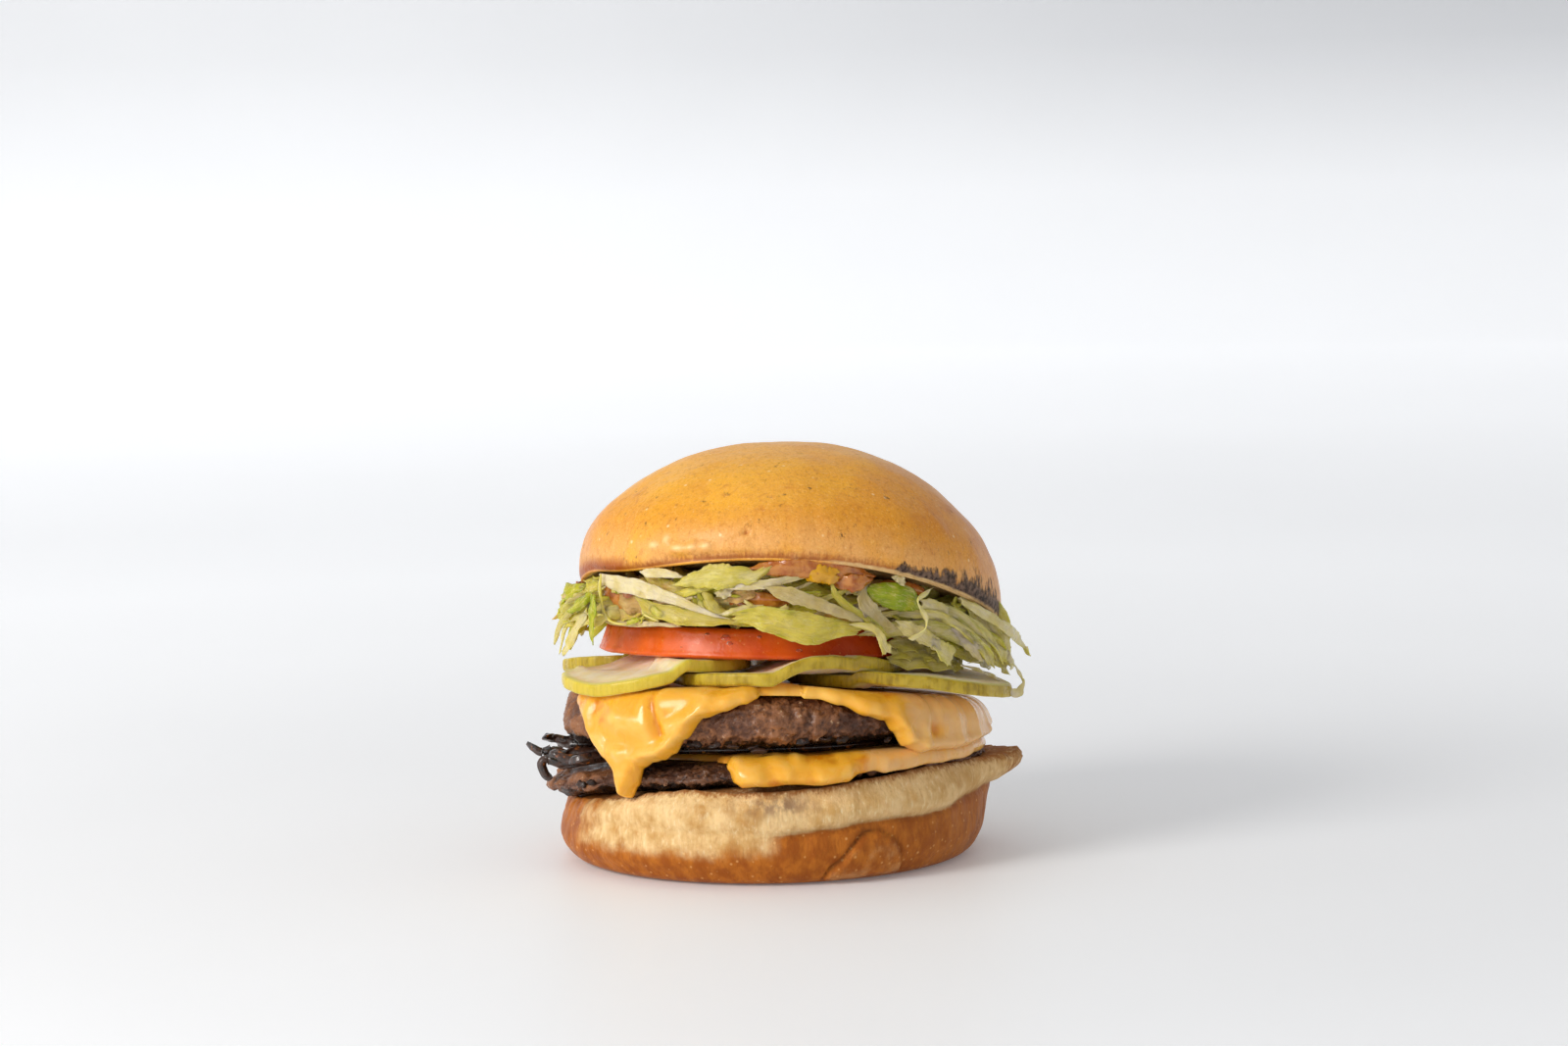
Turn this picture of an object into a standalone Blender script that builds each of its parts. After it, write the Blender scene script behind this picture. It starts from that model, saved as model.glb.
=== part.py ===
"""Double cheeseburger with lettuce, tomato and pickles, standing on the flat underside of its bun.

Metres, +Z up, the viewer at -Y. The origin is the centre of the flat underside. Dimensions below
are in millimetres and bearings are degrees round the upright axis: 0 faces -Y, 90 faces +X.
"""

import math
import random

import bmesh
import bpy
from mathutils import Vector

MM = 0.001
GAP = 0.35
COLUMNS = 48

BUN_RADIUS = 53.6
BUN_LIP = 9.6
CROWN_CENTRE = (4.2, 0.5)
CROWN_RADIUS = 52.6
CROWN_RIM = 66.5
CROWN_APEX = (3.4, -2.0, 103.8)
PATTY_RADIUS = 52.3
CHEESE_SHEET = 1.7
TOMATO_RADIUS = 43.2
PICKLE_HALF = 1.55
PICKLE_GAP = 0.4
LETTUCE_RADIUS = 46.5
LEAF = 0.9
SEED = 11


def clamp(value, low, high):
    return max(low, min(high, value))


def smooth(low, high, value):
    t = clamp((value - low) / (high - low), 0.0, 1.0)
    return t * t * (3 - 2 * t)


def bump(bearing, centre, width):
    away = (bearing - centre + 180) % 360 - 180
    return math.exp(-((away / width) ** 2))


def bearing_of(x, y):
    return math.degrees(math.atan2(x, -y))


def on_bearing(bearing, radius, centre=(0.0, 0.0)):
    angle = math.radians(bearing)
    return centre[0] + radius * math.sin(angle), centre[1] - radius * math.cos(angle)


def between(points, bearing):
    """Value at a bearing, from (bearing, value) stations joined smoothly all the way round."""
    bearing = (bearing - points[0][0]) % 360 + points[0][0]
    ring = points + ((points[0][0] + 360, points[0][1]),)
    for (b0, v0), (b1, v1) in zip(ring, ring[1:]):
        if bearing <= b1:
            return v0 + (v1 - v0) * smooth(b0, b1, bearing)
    return ring[-1][1]


def lean(y, front, back):
    """Rise of a layer toward the viewer, flatter behind the middle."""
    return -y * (front if y < 0 else back)


def heel_top(x, y):
    dip = 1.8 * bump(bearing_of(x, y), -75, 28) * smooth(30, 48, math.hypot(x, y))
    return 19.3 + 0.045 * x + lean(y, 0.10, 0.06) - dip


def lower_patty_top(x, y):
    bearing, radius = bearing_of(x, y), math.hypot(x, y)
    sag = 2.6 * bump(bearing, -72, 24) * smooth(40, 50, radius)
    return 25.6 + 0.02 * x + lean(y, 0.08, 0.05) - sag


def upper_patty_base(x, y):
    return 29.3 + 0.02 * x + lean(y, 0.08, 0.05)


def upper_patty_top(x, y):
    """The left end stands up higher than the rest of the rim."""
    knob = 3.2 * bump(bearing_of(x, y), -83, 22) * smooth(43, 50, math.hypot(x, y))
    return 39.7 - 0.03 * x - 0.0009 * x * x + lean(y, 0.125, 0.07) + knob


def cheese_top(x, y):
    return upper_patty_top(x, y) + GAP + CHEESE_SHEET


def tomato_base(x, y):
    return 51.1 - 0.026 * x + lean(y, 0.0715, 0.06)


def tomato_top(x, y):
    return 57.6 - 0.030 * x + lean(y, 0.090, 0.065)


def crown_rim(x, y):
    """Height of the crown's cut edge: raised toward the viewer, sagging at the right."""
    u, v = x / 53.0, -y / 53.0
    left = 2.0 * math.exp(-((x + 47) ** 2 + (y + 20) ** 2) / 200)
    return CROWN_RIM + 9.9 * v - 5.55 * u + 3.4 * (v * v - u * u + u * max(v, 0.0)) + left


def crown_base(x, y):
    radius = math.hypot(x - CROWN_CENTRE[0], y - CROWN_CENTRE[1])
    return crown_rim(x, y) + 1.5 * (1 - smooth(46, 52, radius))


def material(name, color, roughness):
    made = bpy.data.materials.new(name)
    made.use_nodes = True
    shader = made.node_tree.nodes["Principled BSDF"]
    shader.inputs["Base Color"].default_value = (*color, 1.0)
    shader.inputs["Roughness"].default_value = roughness
    shader.inputs["Metallic"].default_value = 0.0
    made.diffuse_color = (*color, 1.0)
    return made


def collection(name, parent):
    made = bpy.data.collections.new(name)
    parent.children.link(made)
    return made


def mesh_object(name, verts, faces, group, look=None, flat=False):
    mesh = bpy.data.meshes.new(name)
    mesh.from_pydata([tuple(c * MM for c in v) for v in verts], [], faces)
    if look:
        mesh.materials.append(look)
    made = bpy.data.objects.new(name, mesh)
    group.objects.link(made)
    shell = bmesh.new()
    shell.from_mesh(mesh)
    bmesh.ops.recalc_face_normals(shell, faces=shell.faces)
    shell.to_mesh(mesh)
    shell.free()
    mesh.polygons.foreach_set("use_smooth", [not flat] * len(mesh.polygons))
    return made


def stack_of_rings(name, rings, low_pole, high_pole, group, look):
    """Closed body: a fan at each pole and a band between each two rings of points."""
    count = len(rings[0])
    verts = [point for ring in rings for point in ring] + [low_pole, high_pole]
    low, high = len(verts) - 2, len(verts) - 1
    last = (len(rings) - 1) * count
    faces = []
    for k in range(count):
        n = (k + 1) % count
        faces.append((low, n, k))
        faces.append((high, last + k, last + n))
        for r in range(len(rings) - 1):
            a = r * count
            b = a + count
            faces.append((a + k, a + n, b + n, b + k))
    return mesh_object(name, verts, faces, group, look)


def slab(name, centre, radius, low, high, edge, group, look, columns=COLUMNS, inner=(0.5,)):
    """Layer between two height functions. Edge stations are (outset, share of the height)."""
    rings = []
    bearings = [360.0 * k / columns for k in range(columns)]
    stations = [(share, None, 0.0) for share in inner]
    stations += [(1.0, outset, share) for outset, share in edge]
    stations += [(share, None, 1.0) for share in reversed(inner)]
    for share, outset, height in stations:
        ring = []
        for bearing in bearings:
            reach = radius(bearing) * share + (outset or 0.0)
            x, y = on_bearing(bearing, reach, centre)
            ring.append((x, y, low(x, y) * (1 - height) + high(x, y) * height))
        rings.append(ring)
    x, y = centre
    return stack_of_rings(name, rings, (x, y, low(x, y)), (x, y, high(x, y)), group, look)


def heel_rim(bearing):
    angle = math.radians(bearing)
    swell = 1.7 * bump(bearing, -27, 14) + 1.2 * bump(bearing, 45, 22) - 1.6 * bump(bearing, -75, 25)
    return 20.3 + 3.2 * math.cos(angle) + 3.6 * math.sin(angle) + swell


def heel_lip(bearing):
    return bump(bearing, 88, 13)


def heel_rings():
    """Stations up the side of the bottom bun as (outset, share of the rim height)."""
    stations = ((-26, 0.0), (-7.5, 0.0), (-4.0, 0.03), (-1.2, 0.16), (0.4, 0.36), (0.2, 0.62))
    rings = []
    for outset, share in stations + ((-0.4, 0.82), (-1.4, 0.97)):
        ring = []
        for k in range(COLUMNS):
            bearing = 360.0 * k / COLUMNS
            lip = heel_lip(bearing)
            reach = BUN_RADIUS + outset + 0.9 * bump(bearing, -60, 40) * (share < 0.9)
            reach -= 2.6 * bump(bearing, -80, 35) * smooth(0.5, 1.0, share)
            reach += lip * (BUN_LIP * smooth(0.55, 1.0, share) ** 1.6 - 1.2 * (share < 0.5))
            height = share * heel_rim(bearing)
            ring.append((*on_bearing(bearing, reach), height))
        rings.append(ring)
    for reach, drop in ((-4.5, 0.15), (-14, 0.0), (-32, 0.0)):
        ring = []
        for k in range(COLUMNS):
            bearing = 360.0 * k / COLUMNS
            x, y = on_bearing(bearing, BUN_RADIUS + reach)
            ring.append((x, y, heel_top(x, y) - drop))
        rings.append(ring)
    return rings


def bun_bottom(group):
    look = material("bread_base", (0.70, 0.46, 0.22), 0.6)
    centre_top = (0, 0, heel_top(0, 0))
    stack_of_rings("bun_bottom", heel_rings(), (0, 0, 0), centre_top, group, look)


def ragged(rng, amount, columns=COLUMNS):
    """Inward nicks of a seared edge, one for each column."""
    nicks = [rng.uniform(0, amount) for _ in range(columns)]
    return lambda bearing: nicks[round((bearing % 360) * columns / 360) % columns]


def lower_radius(bearing):
    return PATTY_RADIUS + 5.8 * bump(bearing, -82, 19) + 1.2 * bump(bearing, 80, 30)


def upper_radius(bearing):
    return PATTY_RADIUS - 1.9 * bump(bearing, 80, 50) + 0.6 * bump(bearing, -90, 30)


def patty(name, radius, low, high, rng, group, look, inner=0.5):
    nicks = ragged(rng, 0.9)
    edge = ((-4.5, 0.0), (-1.3, 0.13), (-0.1, 0.42), (-0.5, 0.66), (-2.4, 0.88), (-5.5, 1.0))
    slab(
        name,
        (0, 0),
        lambda b: radius(b) - nicks(b),
        lambda x, y: low(x, y) + GAP,
        high,
        edge,
        group,
        look,
        inner=(inner,),
    )


def drape_point(radius, top, along, off):
    """Point on a sheet that lies on a patty, turns over its rim and hangs down its side."""
    corner = 3.0
    arc = math.pi / 2 * corner
    if along <= 0:
        return radius - corner + along, top + off
    if along < arc:
        turn = along / corner
        reach = corner + off
        return radius - corner + reach * math.sin(turn), top - corner + reach * math.cos(turn)
    return radius + off, top - corner - (along - arc)


def drape_rings(radius, surface, hem, sheet, apron):
    """Inner stations out to the hem and outer stations back, for every bearing."""
    columns = []
    for k in range(COLUMNS):
        bearing = 360.0 * k / COLUMNS
        reach = radius(bearing)
        rim_top = surface(*on_bearing(bearing, reach))
        low = hem(bearing)
        if low > rim_top:
            end = rim_top - low
        else:
            end = max(0.4, rim_top - low - 3.0 + 4.71)
        marks = [-16.0, 0.0, 2.4, 4.71, 4.71 + max(0.0, end - 4.71) * 0.55, end]
        last = len(marks) - 1
        marks = [min(mark, end - 0.35 * (last - i)) for i, mark in enumerate(marks)]
        inner, outer = [], []
        for i, along in enumerate(marks):
            hang = smooth(0.0, 6.0, along)
            thick = sheet + (apron(bearing) - sheet) * hang
            if i == last:
                thick *= 0.78
            for side, off in ((inner, GAP), (outer, GAP + thick)):
                r, z = drape_point(reach, 0.0, along, off)
                x, y = on_bearing(bearing, r)
                base = surface(x, y) if along <= 0 else rim_top
                side.append((x, y, base + z))
        tip_r, tip_z = drape_point(reach, 0.0, end + 0.7, GAP + thick * 0.5)
        x, y = on_bearing(bearing, tip_r)
        tip = (x, y, (surface(x, y) if end + 0.7 <= 0 else rim_top) + tip_z)
        columns.append(inner + [tip] + outer[::-1])
    return [list(ring) for ring in zip(*columns)]


def lower_hem(bearing):
    """Lowest height of the lower slice: a lobe in front and a long sheet at the right."""
    stations = (
        (-180, 25.4), (-130, 23.6), (-105, 39.0), (-36, 39.0), (-23, 33.4), (-15, 28.4),
        (-9, 25.8), (-2, 25.2), (16, 25.6), (24, 27.2), (40, 27.4), (62, 27.0), (90, 26.2),
        (130, 24.4),
    )
    return between(stations, bearing)


def upper_hem(bearing):
    """Lowest height of the upper slice: a broad run at the left and a full apron at the right."""
    stations = (
        (-180, 33.4), (-150, 30.5), (-115, 36.6), (-82, 39.6), (-66, 38.0), (-56, 32.4),
        (-49, 29.8), (-42, 29.2), (-38, 23.6), (-34, 30.8), (-28, 33.6), (-19, 42.0),
        (-4, 46.6), (10, 46.6), (18, 43.6), (27, 40.8), (32, 37.0), (38, 33.0), (60, 31.0),
        (92, 30.6), (118, 33.6), (150, 30.8),
    )
    return between(stations, bearing)


def lower_apron(bearing):
    return 2.2 + 1.6 * bump(bearing, -6, 10) + 1.2 * bump(bearing, 12, 9) + 0.8 * bump(bearing, 75, 25)


def upper_apron(bearing):
    return 2.3 + 1.9 * bump(bearing, -45, 11) + 0.8 * bump(bearing, 60, 40)


def cheese(name, radius, surface, hem, apron, group, look):
    rings = drape_rings(radius, surface, hem, CHEESE_SHEET, apron)
    low = (0, 0, surface(0, 0) + GAP)
    high = (0, 0, surface(0, 0) + GAP + CHEESE_SHEET)
    stack_of_rings(name, rings, low, high, group, look)


def pickle_under(x, y):
    """Depth of a slice below its middle: fuller where it stands clear of the tomato."""
    return PICKLE_HALF + 0.7 * smooth(43, 50, math.hypot(x, y))


def disc_surface(rest, shape, room=0.0):
    """Middle surface of a slice: its own shape, kept above what it rests on and below the tomato."""

    def middle(x, y):
        height = max(shape(x, y), rest(x, y) + PICKLE_GAP + pickle_under(x, y))
        if math.hypot(x, y) < TOMATO_RADIUS + 1.0:
            height = min(height, tomato_base(x, y) - PICKLE_GAP - PICKLE_HALF - room)
        return height

    return middle


def pickle(name, centre, radius, middle, group, look):
    wave = random.Random(name).uniform(0, 6.28)
    slab(
        name,
        centre,
        lambda b: radius + 0.5 * math.sin(math.radians(3 * b) + wave),
        lambda x, y: middle(x, y) - pickle_under(x, y),
        lambda x, y: middle(x, y) + PICKLE_HALF,
        ((-0.8, 0.0), (0.0, 0.25), (0.0, 0.75), (-0.7, 1.0)),
        group,
        look,
        columns=24,
        inner=(0.4, 0.75),
    )


def above(middle, centre, radius, floor):
    """Rest surface of a slice that lies partly on another slice."""

    def rest(x, y):
        inside = math.hypot(x - centre[0], y - centre[1])
        lift = 1 - smooth(radius + 1.5, radius + 7.0, inside)
        if lift <= 0:
            return floor(x, y)
        top = middle(x, y) + PICKLE_HALF
        return floor(x, y) + max(0.0, top - floor(x, y)) * lift

    return rest


def rim_rest(x, y):
    """Top of the upper cheese, dropping past its edge."""
    over = max(0.0, math.hypot(x, y) - 55.5)
    return cheese_top(x, y) + 0.15 - 1.2 * over


def left_front_shape(x, y):
    side = 0.19 * (x + 44) if x > -44 else -0.15 * (x + 44)
    return 46.9 + side + 0.09 * smooth(-44, -20, x) * (y + 44)


def middle_shape(x, y):
    rise = 6.8 * smooth(-9, 11, x) - 0.17 * max(0.0, x - 15) + 0.007 * min(0.0, x + 12) ** 2
    left = 1 - smooth(-8, 5, x)
    return 47.2 + rise - 0.09 * (y + 49) + 0.21 * left * min(y + 49, 9.0)


def right_shape(x, y):
    far = 0.125 * (y + 42) * smooth(20, 42, x)
    return 44.6 - 0.115 * x - 0.175 * y + far - 0.1 * max(0.0, x - 38)


def pickles(group):
    look = material("pickle", (0.45, 0.45, 0.10), 0.4)
    room = 2 * PICKLE_HALF + PICKLE_GAP + 0.2
    right = disc_surface(rim_rest, right_shape, room)
    pickle("pickle_right", (31, -14), 28.5, right, group, look)
    floor = above(right, (31, -14), 28.5, rim_rest)
    middle = disc_surface(floor, middle_shape, 0.1)
    pickle("pickle_middle", (3, -22), 29.0, middle, group, look)
    floor = above(middle, (3, -22), 29.0, rim_rest)
    left = disc_surface(floor, left_front_shape)
    pickle("pickle_left_front", (-28.3, -20), 23.6, left, group, look)
    floor = above(left, (-28.3, -20), 23.6, rim_rest)
    back_left = disc_surface(floor, lambda x, y: 46.4 - 0.19 * (y - 14))
    pickle("pickle_left_back", (-37.2, 22.5), 17.6, back_left, group, look)
    floor = above(right, (31, -14), 28.5, rim_rest)
    back = disc_surface(floor, lambda x, y: 43.6 - 0.09 * (y - 30))
    pickle("pickle_back", (16, 32), 24.0, back, group, look)


def tomato(group):
    look = material("tomato", (0.62, 0.09, 0.03), 0.25)
    slab(
        "tomato",
        (0, 0),
        lambda b: TOMATO_RADIUS - 0.9 * bump(b, 60, 40) + 0.8 * bump(b, -75, 35),
        tomato_base,
        tomato_top,
        ((-1.0, 0.0), (0.0, 0.14), (-0.7, 0.5), (-2.2, 0.9), (-3.2, 1.0)),
        group,
        look,
    )


def crown_profile(turn):
    """Reach and rise of the dome for a turn of 0 at the rim to 1 at the apex."""
    angle = turn * math.pi / 2
    fullness = 2 / 2.12
    return math.cos(angle) ** fullness, math.sin(angle) ** fullness


def crown_rings():
    rings = []
    bearings = [360.0 * k / COLUMNS for k in range(COLUMNS)]
    for reach in (24.0, 46.0, 50.2):
        ring = []
        for bearing in bearings:
            x, y = on_bearing(bearing, reach, CROWN_CENTRE)
            ring.append((x, y, crown_base(x, y)))
        rings.append(ring)
    for turn in (-0.02, 0.06, 0.17, 0.30, 0.43, 0.56, 0.69, 0.81, 0.91):
        ring = []
        for bearing in bearings:
            rim = CROWN_RADIUS + 1.0 * bump(bearing, 90, 30) - 0.6 * bump(bearing, 0, 30)
            rim_x, rim_y = on_bearing(bearing, rim, CROWN_CENTRE)
            rim_z = crown_rim(rim_x, rim_y)
            if turn < 0:
                x, y = on_bearing(bearing, rim - 0.9, CROWN_CENTRE)
                ring.append((x, y, rim_z - 0.1))
                continue
            out, up = crown_profile(turn)
            out += 0.018 * math.sin(math.pi * min(1.0, turn * 2.2))
            z = rim_z + (CROWN_APEX[2] - rim_z) * up
            x = CROWN_APEX[0] + (rim_x - CROWN_APEX[0]) * out
            y = CROWN_APEX[1] + (rim_y - CROWN_APEX[1]) * out
            ring.append((x, y, z))
        rings.append(ring)
    return rings


def bun_top(group):
    look = material("crust", (0.62, 0.27, 0.06), 0.3)
    x, y = CROWN_CENTRE
    stack_of_rings("bun_top", crown_rings(), (x, y, crown_base(x, y)), CROWN_APEX, group, look)


def curve_through(points, count):
    """Catmull-Rom samples through (bearing, radius, height) stations, in x, y, z."""
    spots = [Vector((*on_bearing(b, r), z)) for b, r, z in points]
    spots = [spots[0] * 2 - spots[1]] + spots + [spots[-1] * 2 - spots[-2]]
    spans = len(spots) - 3
    found = []
    for i in range(count):
        t = spans * i / (count - 1)
        k = min(int(t), spans - 1)
        t -= k
        a, b, c, d = spots[k : k + 4]
        found.append(
            0.5 * (2 * b + (c - a) * t + (2 * a - 5 * b + 4 * c - d) * t * t
                   + (3 * b - a - 3 * c + d) * t * t * t)
        )
    return found


def strip(name, stations, widths, group, count=8, twist=0.0, ruffle=0.0):
    """Thin wavy solid along a path: both broad faces are split into triangles alike."""
    path = curve_through(stations, count)
    rows = (-0.5, 0.0, 0.5) if ruffle else (-0.5, 0.5)
    verts = []
    for i, spot in enumerate(path):
        share = i / (count - 1)
        ahead = (path[min(i + 1, count - 1)] - path[max(i - 1, 0)]).normalized()
        outward = Vector((spot.x, spot.y, 0)).normalized()
        across = ahead.cross(outward).normalized()
        face = across.cross(ahead).normalized()
        angle = math.radians(twist) * share
        across, face = (
            across * math.cos(angle) + face * math.sin(angle),
            face * math.cos(angle) - across * math.sin(angle),
        )
        width = widths[0] + (widths[1] - widths[0]) * share
        for side in rows:
            bow = ruffle * math.sin(5.0 * share * math.pi + 2.5 * side)
            middle = spot + across * width * side + face * bow
            verts.append(tuple(middle + face * LEAF / 2))
            verts.append(tuple(middle - face * LEAF / 2))
    row = 2 * len(rows)
    faces = []
    for a in range(0, row * (count - 1), row):
        b = a + row
        for k in range(0, row - 2, 2):
            for side in (0, 1):
                p, q, r, s = a + k + side, b + k + side, b + k + 2 + side, a + k + 2 + side
                faces += [(p, q, r), (p, r, s)] if side else [(p, r, q), (p, s, r)]
        faces += [(a, b, b + 1), (a, b + 1, a + 1)]
        faces += [(a + row - 2, b + row - 1, b + row - 2), (a + row - 2, a + row - 1, b + row - 1)]
    for a in (0, row * (count - 1)):
        faces += [(a + k, a + k + 1, a + k + 3, a + k + 2) for k in range(0, row - 2, 2)]
    return mesh_object(name, verts, faces, group, flat=True)


def front_shreds(group):
    """Strips and leaves that can be told apart at the front, left to right."""
    strip("tuft_a", ((-52, 44, 69.4), (-57, 51, 69.6), (-66, 56, 68.0)), (3.2, 1.6), group, 5)
    strip("tuft_b", ((-56, 44, 66), (-60, 52.6, 65.4), (-59, 53.6, 57)), (3.0, 1.2), group, 6)
    strip("tuft_c", ((-56, 44, 63), (-60, 53.5, 61), (-66, 57, 53.6)), (3.0, 3.4), group, 6)
    strip("band", ((-62, 42, 68), (-42, 47.6, 67.6), (-5, 47.6, 63.8)), (7.0, 4.0), group, 8)
    strip(
        "long_strip",
        ((-66, 42, 70.4), (-59, 50.4, 72.0), (-40, 51, 71.4), (-24, 50, 68.2), (-3, 44, 63)),
        (4.6, 3.0), group, 9,
    )
    strip("chunk", ((-46, 43, 73), (-38, 49, 73.4), (-22, 46, 73.4)), (3.2, 2.8), group, 5)
    strip(
        "fan_leaf",
        ((-30, 44, 71), (-26, 52.4, 72.4), (-12, 52, 75.0), (2, 51.4, 74.4), (18, 45, 73.0)),
        (3.0, 5.0), group, 8, ruffle=0.5,
    )
    strip(
        "draped_leaf",
        ((-20, 43, 65), (-12, 47.6, 64.8), (4, 49.6, 63.4), (16, 50.4, 62.2), (32, 45, 63)),
        (5.0, 8.4), group, 9, ruffle=0.7,
    )
    strip(
        "centre_strip",
        ((-6, 44, 73), (0, 50.6, 71.6), (17, 52, 66.6), (29, 53, 60.8), (32, 53.4, 55.4)),
        (3.4, 3.6), group, 9,
    )
    strip("steep_strip", ((26, 44, 73), (29, 49.4, 70), (41, 50.2, 60.4)), (4.0, 3.4), group, 6)
    strip("cup_leaf", ((22, 44, 68), (28, 51, 67.6), (44, 51.6, 66), (50, 45, 65)), (7.0, 8.0), group, 7)
    strip("short_strip", ((40, 45, 69), (45, 52.6, 67), (61, 54, 59)), (3.2, 3.2), group, 6)
    strip(
        "flared_strip",
        ((32, 44, 62), (38, 50.6, 60.6), (48, 52.4, 57.6), (53, 55, 52)),
        (2.6, 6.6), group, 8, twist=25,
    )


def right_shreds(group):
    strip("mass_upper", ((46, 42, 62), (58, 50.5, 60.2), (80, 50, 57)), (7.0, 4.0), group, 6, ruffle=0.6)
    strip("mass_lower", ((40, 43, 61), (56, 51.6, 57), (74, 55.5, 51.8)), (6.0, 4.4), group, 7, ruffle=0.6)
    strip(
        "reaching_strip",
        ((50, 44, 66), (57, 54.6, 65.4), (71, 60, 58.6), (76, 64, 51.8), (85, 67, 48.6)),
        (3.2, 1.8), group, 9,
    )
    strip("falling_strip", ((56, 44, 60), (65, 56.4, 58.4), (76, 61, 47)), (3.6, 2.8), group, 7)
    strip(
        "curl",
        ((74, 45, 55), (77, 59, 50.5), (78, 62.4, 46), (76, 64.2, 42.6), (72.5, 62.6, 41.4)),
        (2.2, 2.6), group, 8,
    )


def far_shreds(group, rng):
    """Shreds round the hidden sides, of the same widths and droop as those in front."""
    for k in range(17):
        bearing = 98 + 12.2 * k + rng.uniform(-4, 4)
        turn = rng.choice((-1, 1)) * rng.uniform(9, 17)
        wide = rng.uniform(2.6, 5.0)
        top = crown_rim(*on_bearing(bearing - turn, 46)) - wide / 2 - rng.uniform(0.8, 1.6)
        low = tomato_top(*on_bearing(bearing, 42)) - rng.uniform(-1.0, 4.0)
        reach = rng.uniform(49.5, 53)
        tip = reach + rng.uniform(0.5, 4)
        shade = crown_rim(*on_bearing(bearing, reach)) - wide / 2 - 1.2
        low = min(low, crown_rim(*on_bearing(bearing + turn, tip)) - wide / 2 - 2.2)
        stations = (
            (bearing - turn, 43.5, top - 0.5),
            (bearing, reach, min((top + low) / 2 + 0.4, shade)),
            (bearing + turn, tip, low),
        )
        strip(f"far_{k}", stations, (wide, rng.uniform(2.2, 4.6)), group, 5)


def union(name, core, pieces, look, scene_group):
    """Joins a collection of closed bodies to the core, then clears them away."""
    join = core.modifiers.new("join", "BOOLEAN")
    join.operation = "UNION"
    join.operand_type = "COLLECTION"
    join.collection = pieces
    join.solver = "MANIFOLD"
    bpy.context.view_layer.update()
    graph = bpy.context.evaluated_depsgraph_get()
    mesh = bpy.data.meshes.new_from_object(core.evaluated_get(graph))
    core.modifiers.clear()
    core.data = mesh
    mesh.name = name
    mesh.materials.clear()
    mesh.materials.append(look)
    for piece in list(pieces.objects):
        bpy.data.objects.remove(piece)
    scene_group.children.unlink(pieces)
    bpy.data.collections.remove(pieces)


def lettuce(group, scene_group):
    look = material("lettuce", (0.52, 0.60, 0.18), 0.4)
    rng = random.Random(SEED)
    nicks = ragged(rng, 1.6)
    slab(
        "lettuce",
        (0, 0),
        lambda b: LETTUCE_RADIUS - nicks(b) - 1.2 * bump(b, -90, 40),
        lambda x, y: tomato_top(x, y) + GAP,
        lambda x, y: crown_base(x, y) - GAP - 0.1,
        ((-3.0, 0.0), (-0.6, 0.16), (0.0, 0.5), (-0.8, 0.85), (-3.4, 1.0)),
        group,
        look,
    )
    pieces = collection("shreds", scene_group)
    front_shreds(pieces)
    right_shreds(pieces)
    far_shreds(pieces, rng)
    union("lettuce", bpy.data.objects["lettuce"], pieces, look, scene_group)


def strand(name, stations, sizes, group):
    """Tube of changing thickness through the stations, as a bevelled curve made into a mesh."""
    data = bpy.data.curves.new(name, "CURVE")
    data.dimensions = "3D"
    data.bevel_depth = MM
    data.bevel_resolution = 1
    data.resolution_u = 1
    data.use_fill_caps = True
    path = curve_through(stations, 7)
    line = data.splines.new("POLY")
    line.points.add(len(path) - 1)
    for i, spot in enumerate(path):
        line.points[i].co = (*(spot * MM), 1)
        share = i / (len(path) - 1)
        line.points[i].radius = sizes[0] + (sizes[1] - sizes[0]) * smooth(0.0, 0.6, share)
    curve = bpy.data.objects.new(name, data)
    group.objects.link(curve)
    bpy.context.view_layer.update()
    mesh = bpy.data.meshes.new_from_object(curve)
    shell = bmesh.new()
    shell.from_mesh(mesh)
    bmesh.ops.remove_doubles(shell, verts=shell.verts, dist=0.00001)
    bmesh.ops.recalc_face_normals(shell, faces=shell.faces)
    shell.to_mesh(mesh)
    shell.free()
    bpy.data.objects.remove(curve)
    made = bpy.data.objects.new(name, mesh)
    group.objects.link(made)


def onion_middle(x, y):
    low = lower_patty_top(x, y) + GAP + CHEESE_SHEET
    return (low + upper_patty_base(x, y)) / 2


def onion(group, scene_group):
    look = material("charred_onion", (0.05, 0.03, 0.02), 0.3)
    slab(
        "onion",
        (0, 0),
        lambda b: 43.0 + 1.2 * math.sin(math.radians(5 * b)),
        lambda x, y: lower_patty_top(x, y) + 2 * GAP + CHEESE_SHEET,
        upper_patty_base,
        ((-0.6, 0.0), (0.0, 0.5), (-0.6, 1.0)),
        group,
        look,
        columns=36,
        inner=(0.5, 0.86),
    )
    pieces = collection("strands", scene_group)
    for k, bearing in enumerate((-86, -80, -75, -70, -65)):
        x, y = on_bearing(bearing, 41.0)
        height = onion_middle(x, y)
        stations = (
            (bearing + 2, 40.5, height),
            (bearing, 46.5, height - 0.6),
            (bearing - 2, 53.0, 26.3 - 0.3 * k),
            (bearing + 1 - 2 * (k % 2), 59.6 + (k % 3) * 1.2, 28.4 - 1.9 * ((k * 2) % 4)),
            (bearing + 3 - 4 * (k % 2), 63.2 - 1.4 * (k % 2), 29.2 - 2.1 * ((k * 2) % 4)),
        )
        strand(f"strand_{k}", stations, (0.42, 1.35 + 0.2 * (k % 2)), pieces)
    union("onion", bpy.data.objects["onion"], pieces, look, scene_group)


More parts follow.
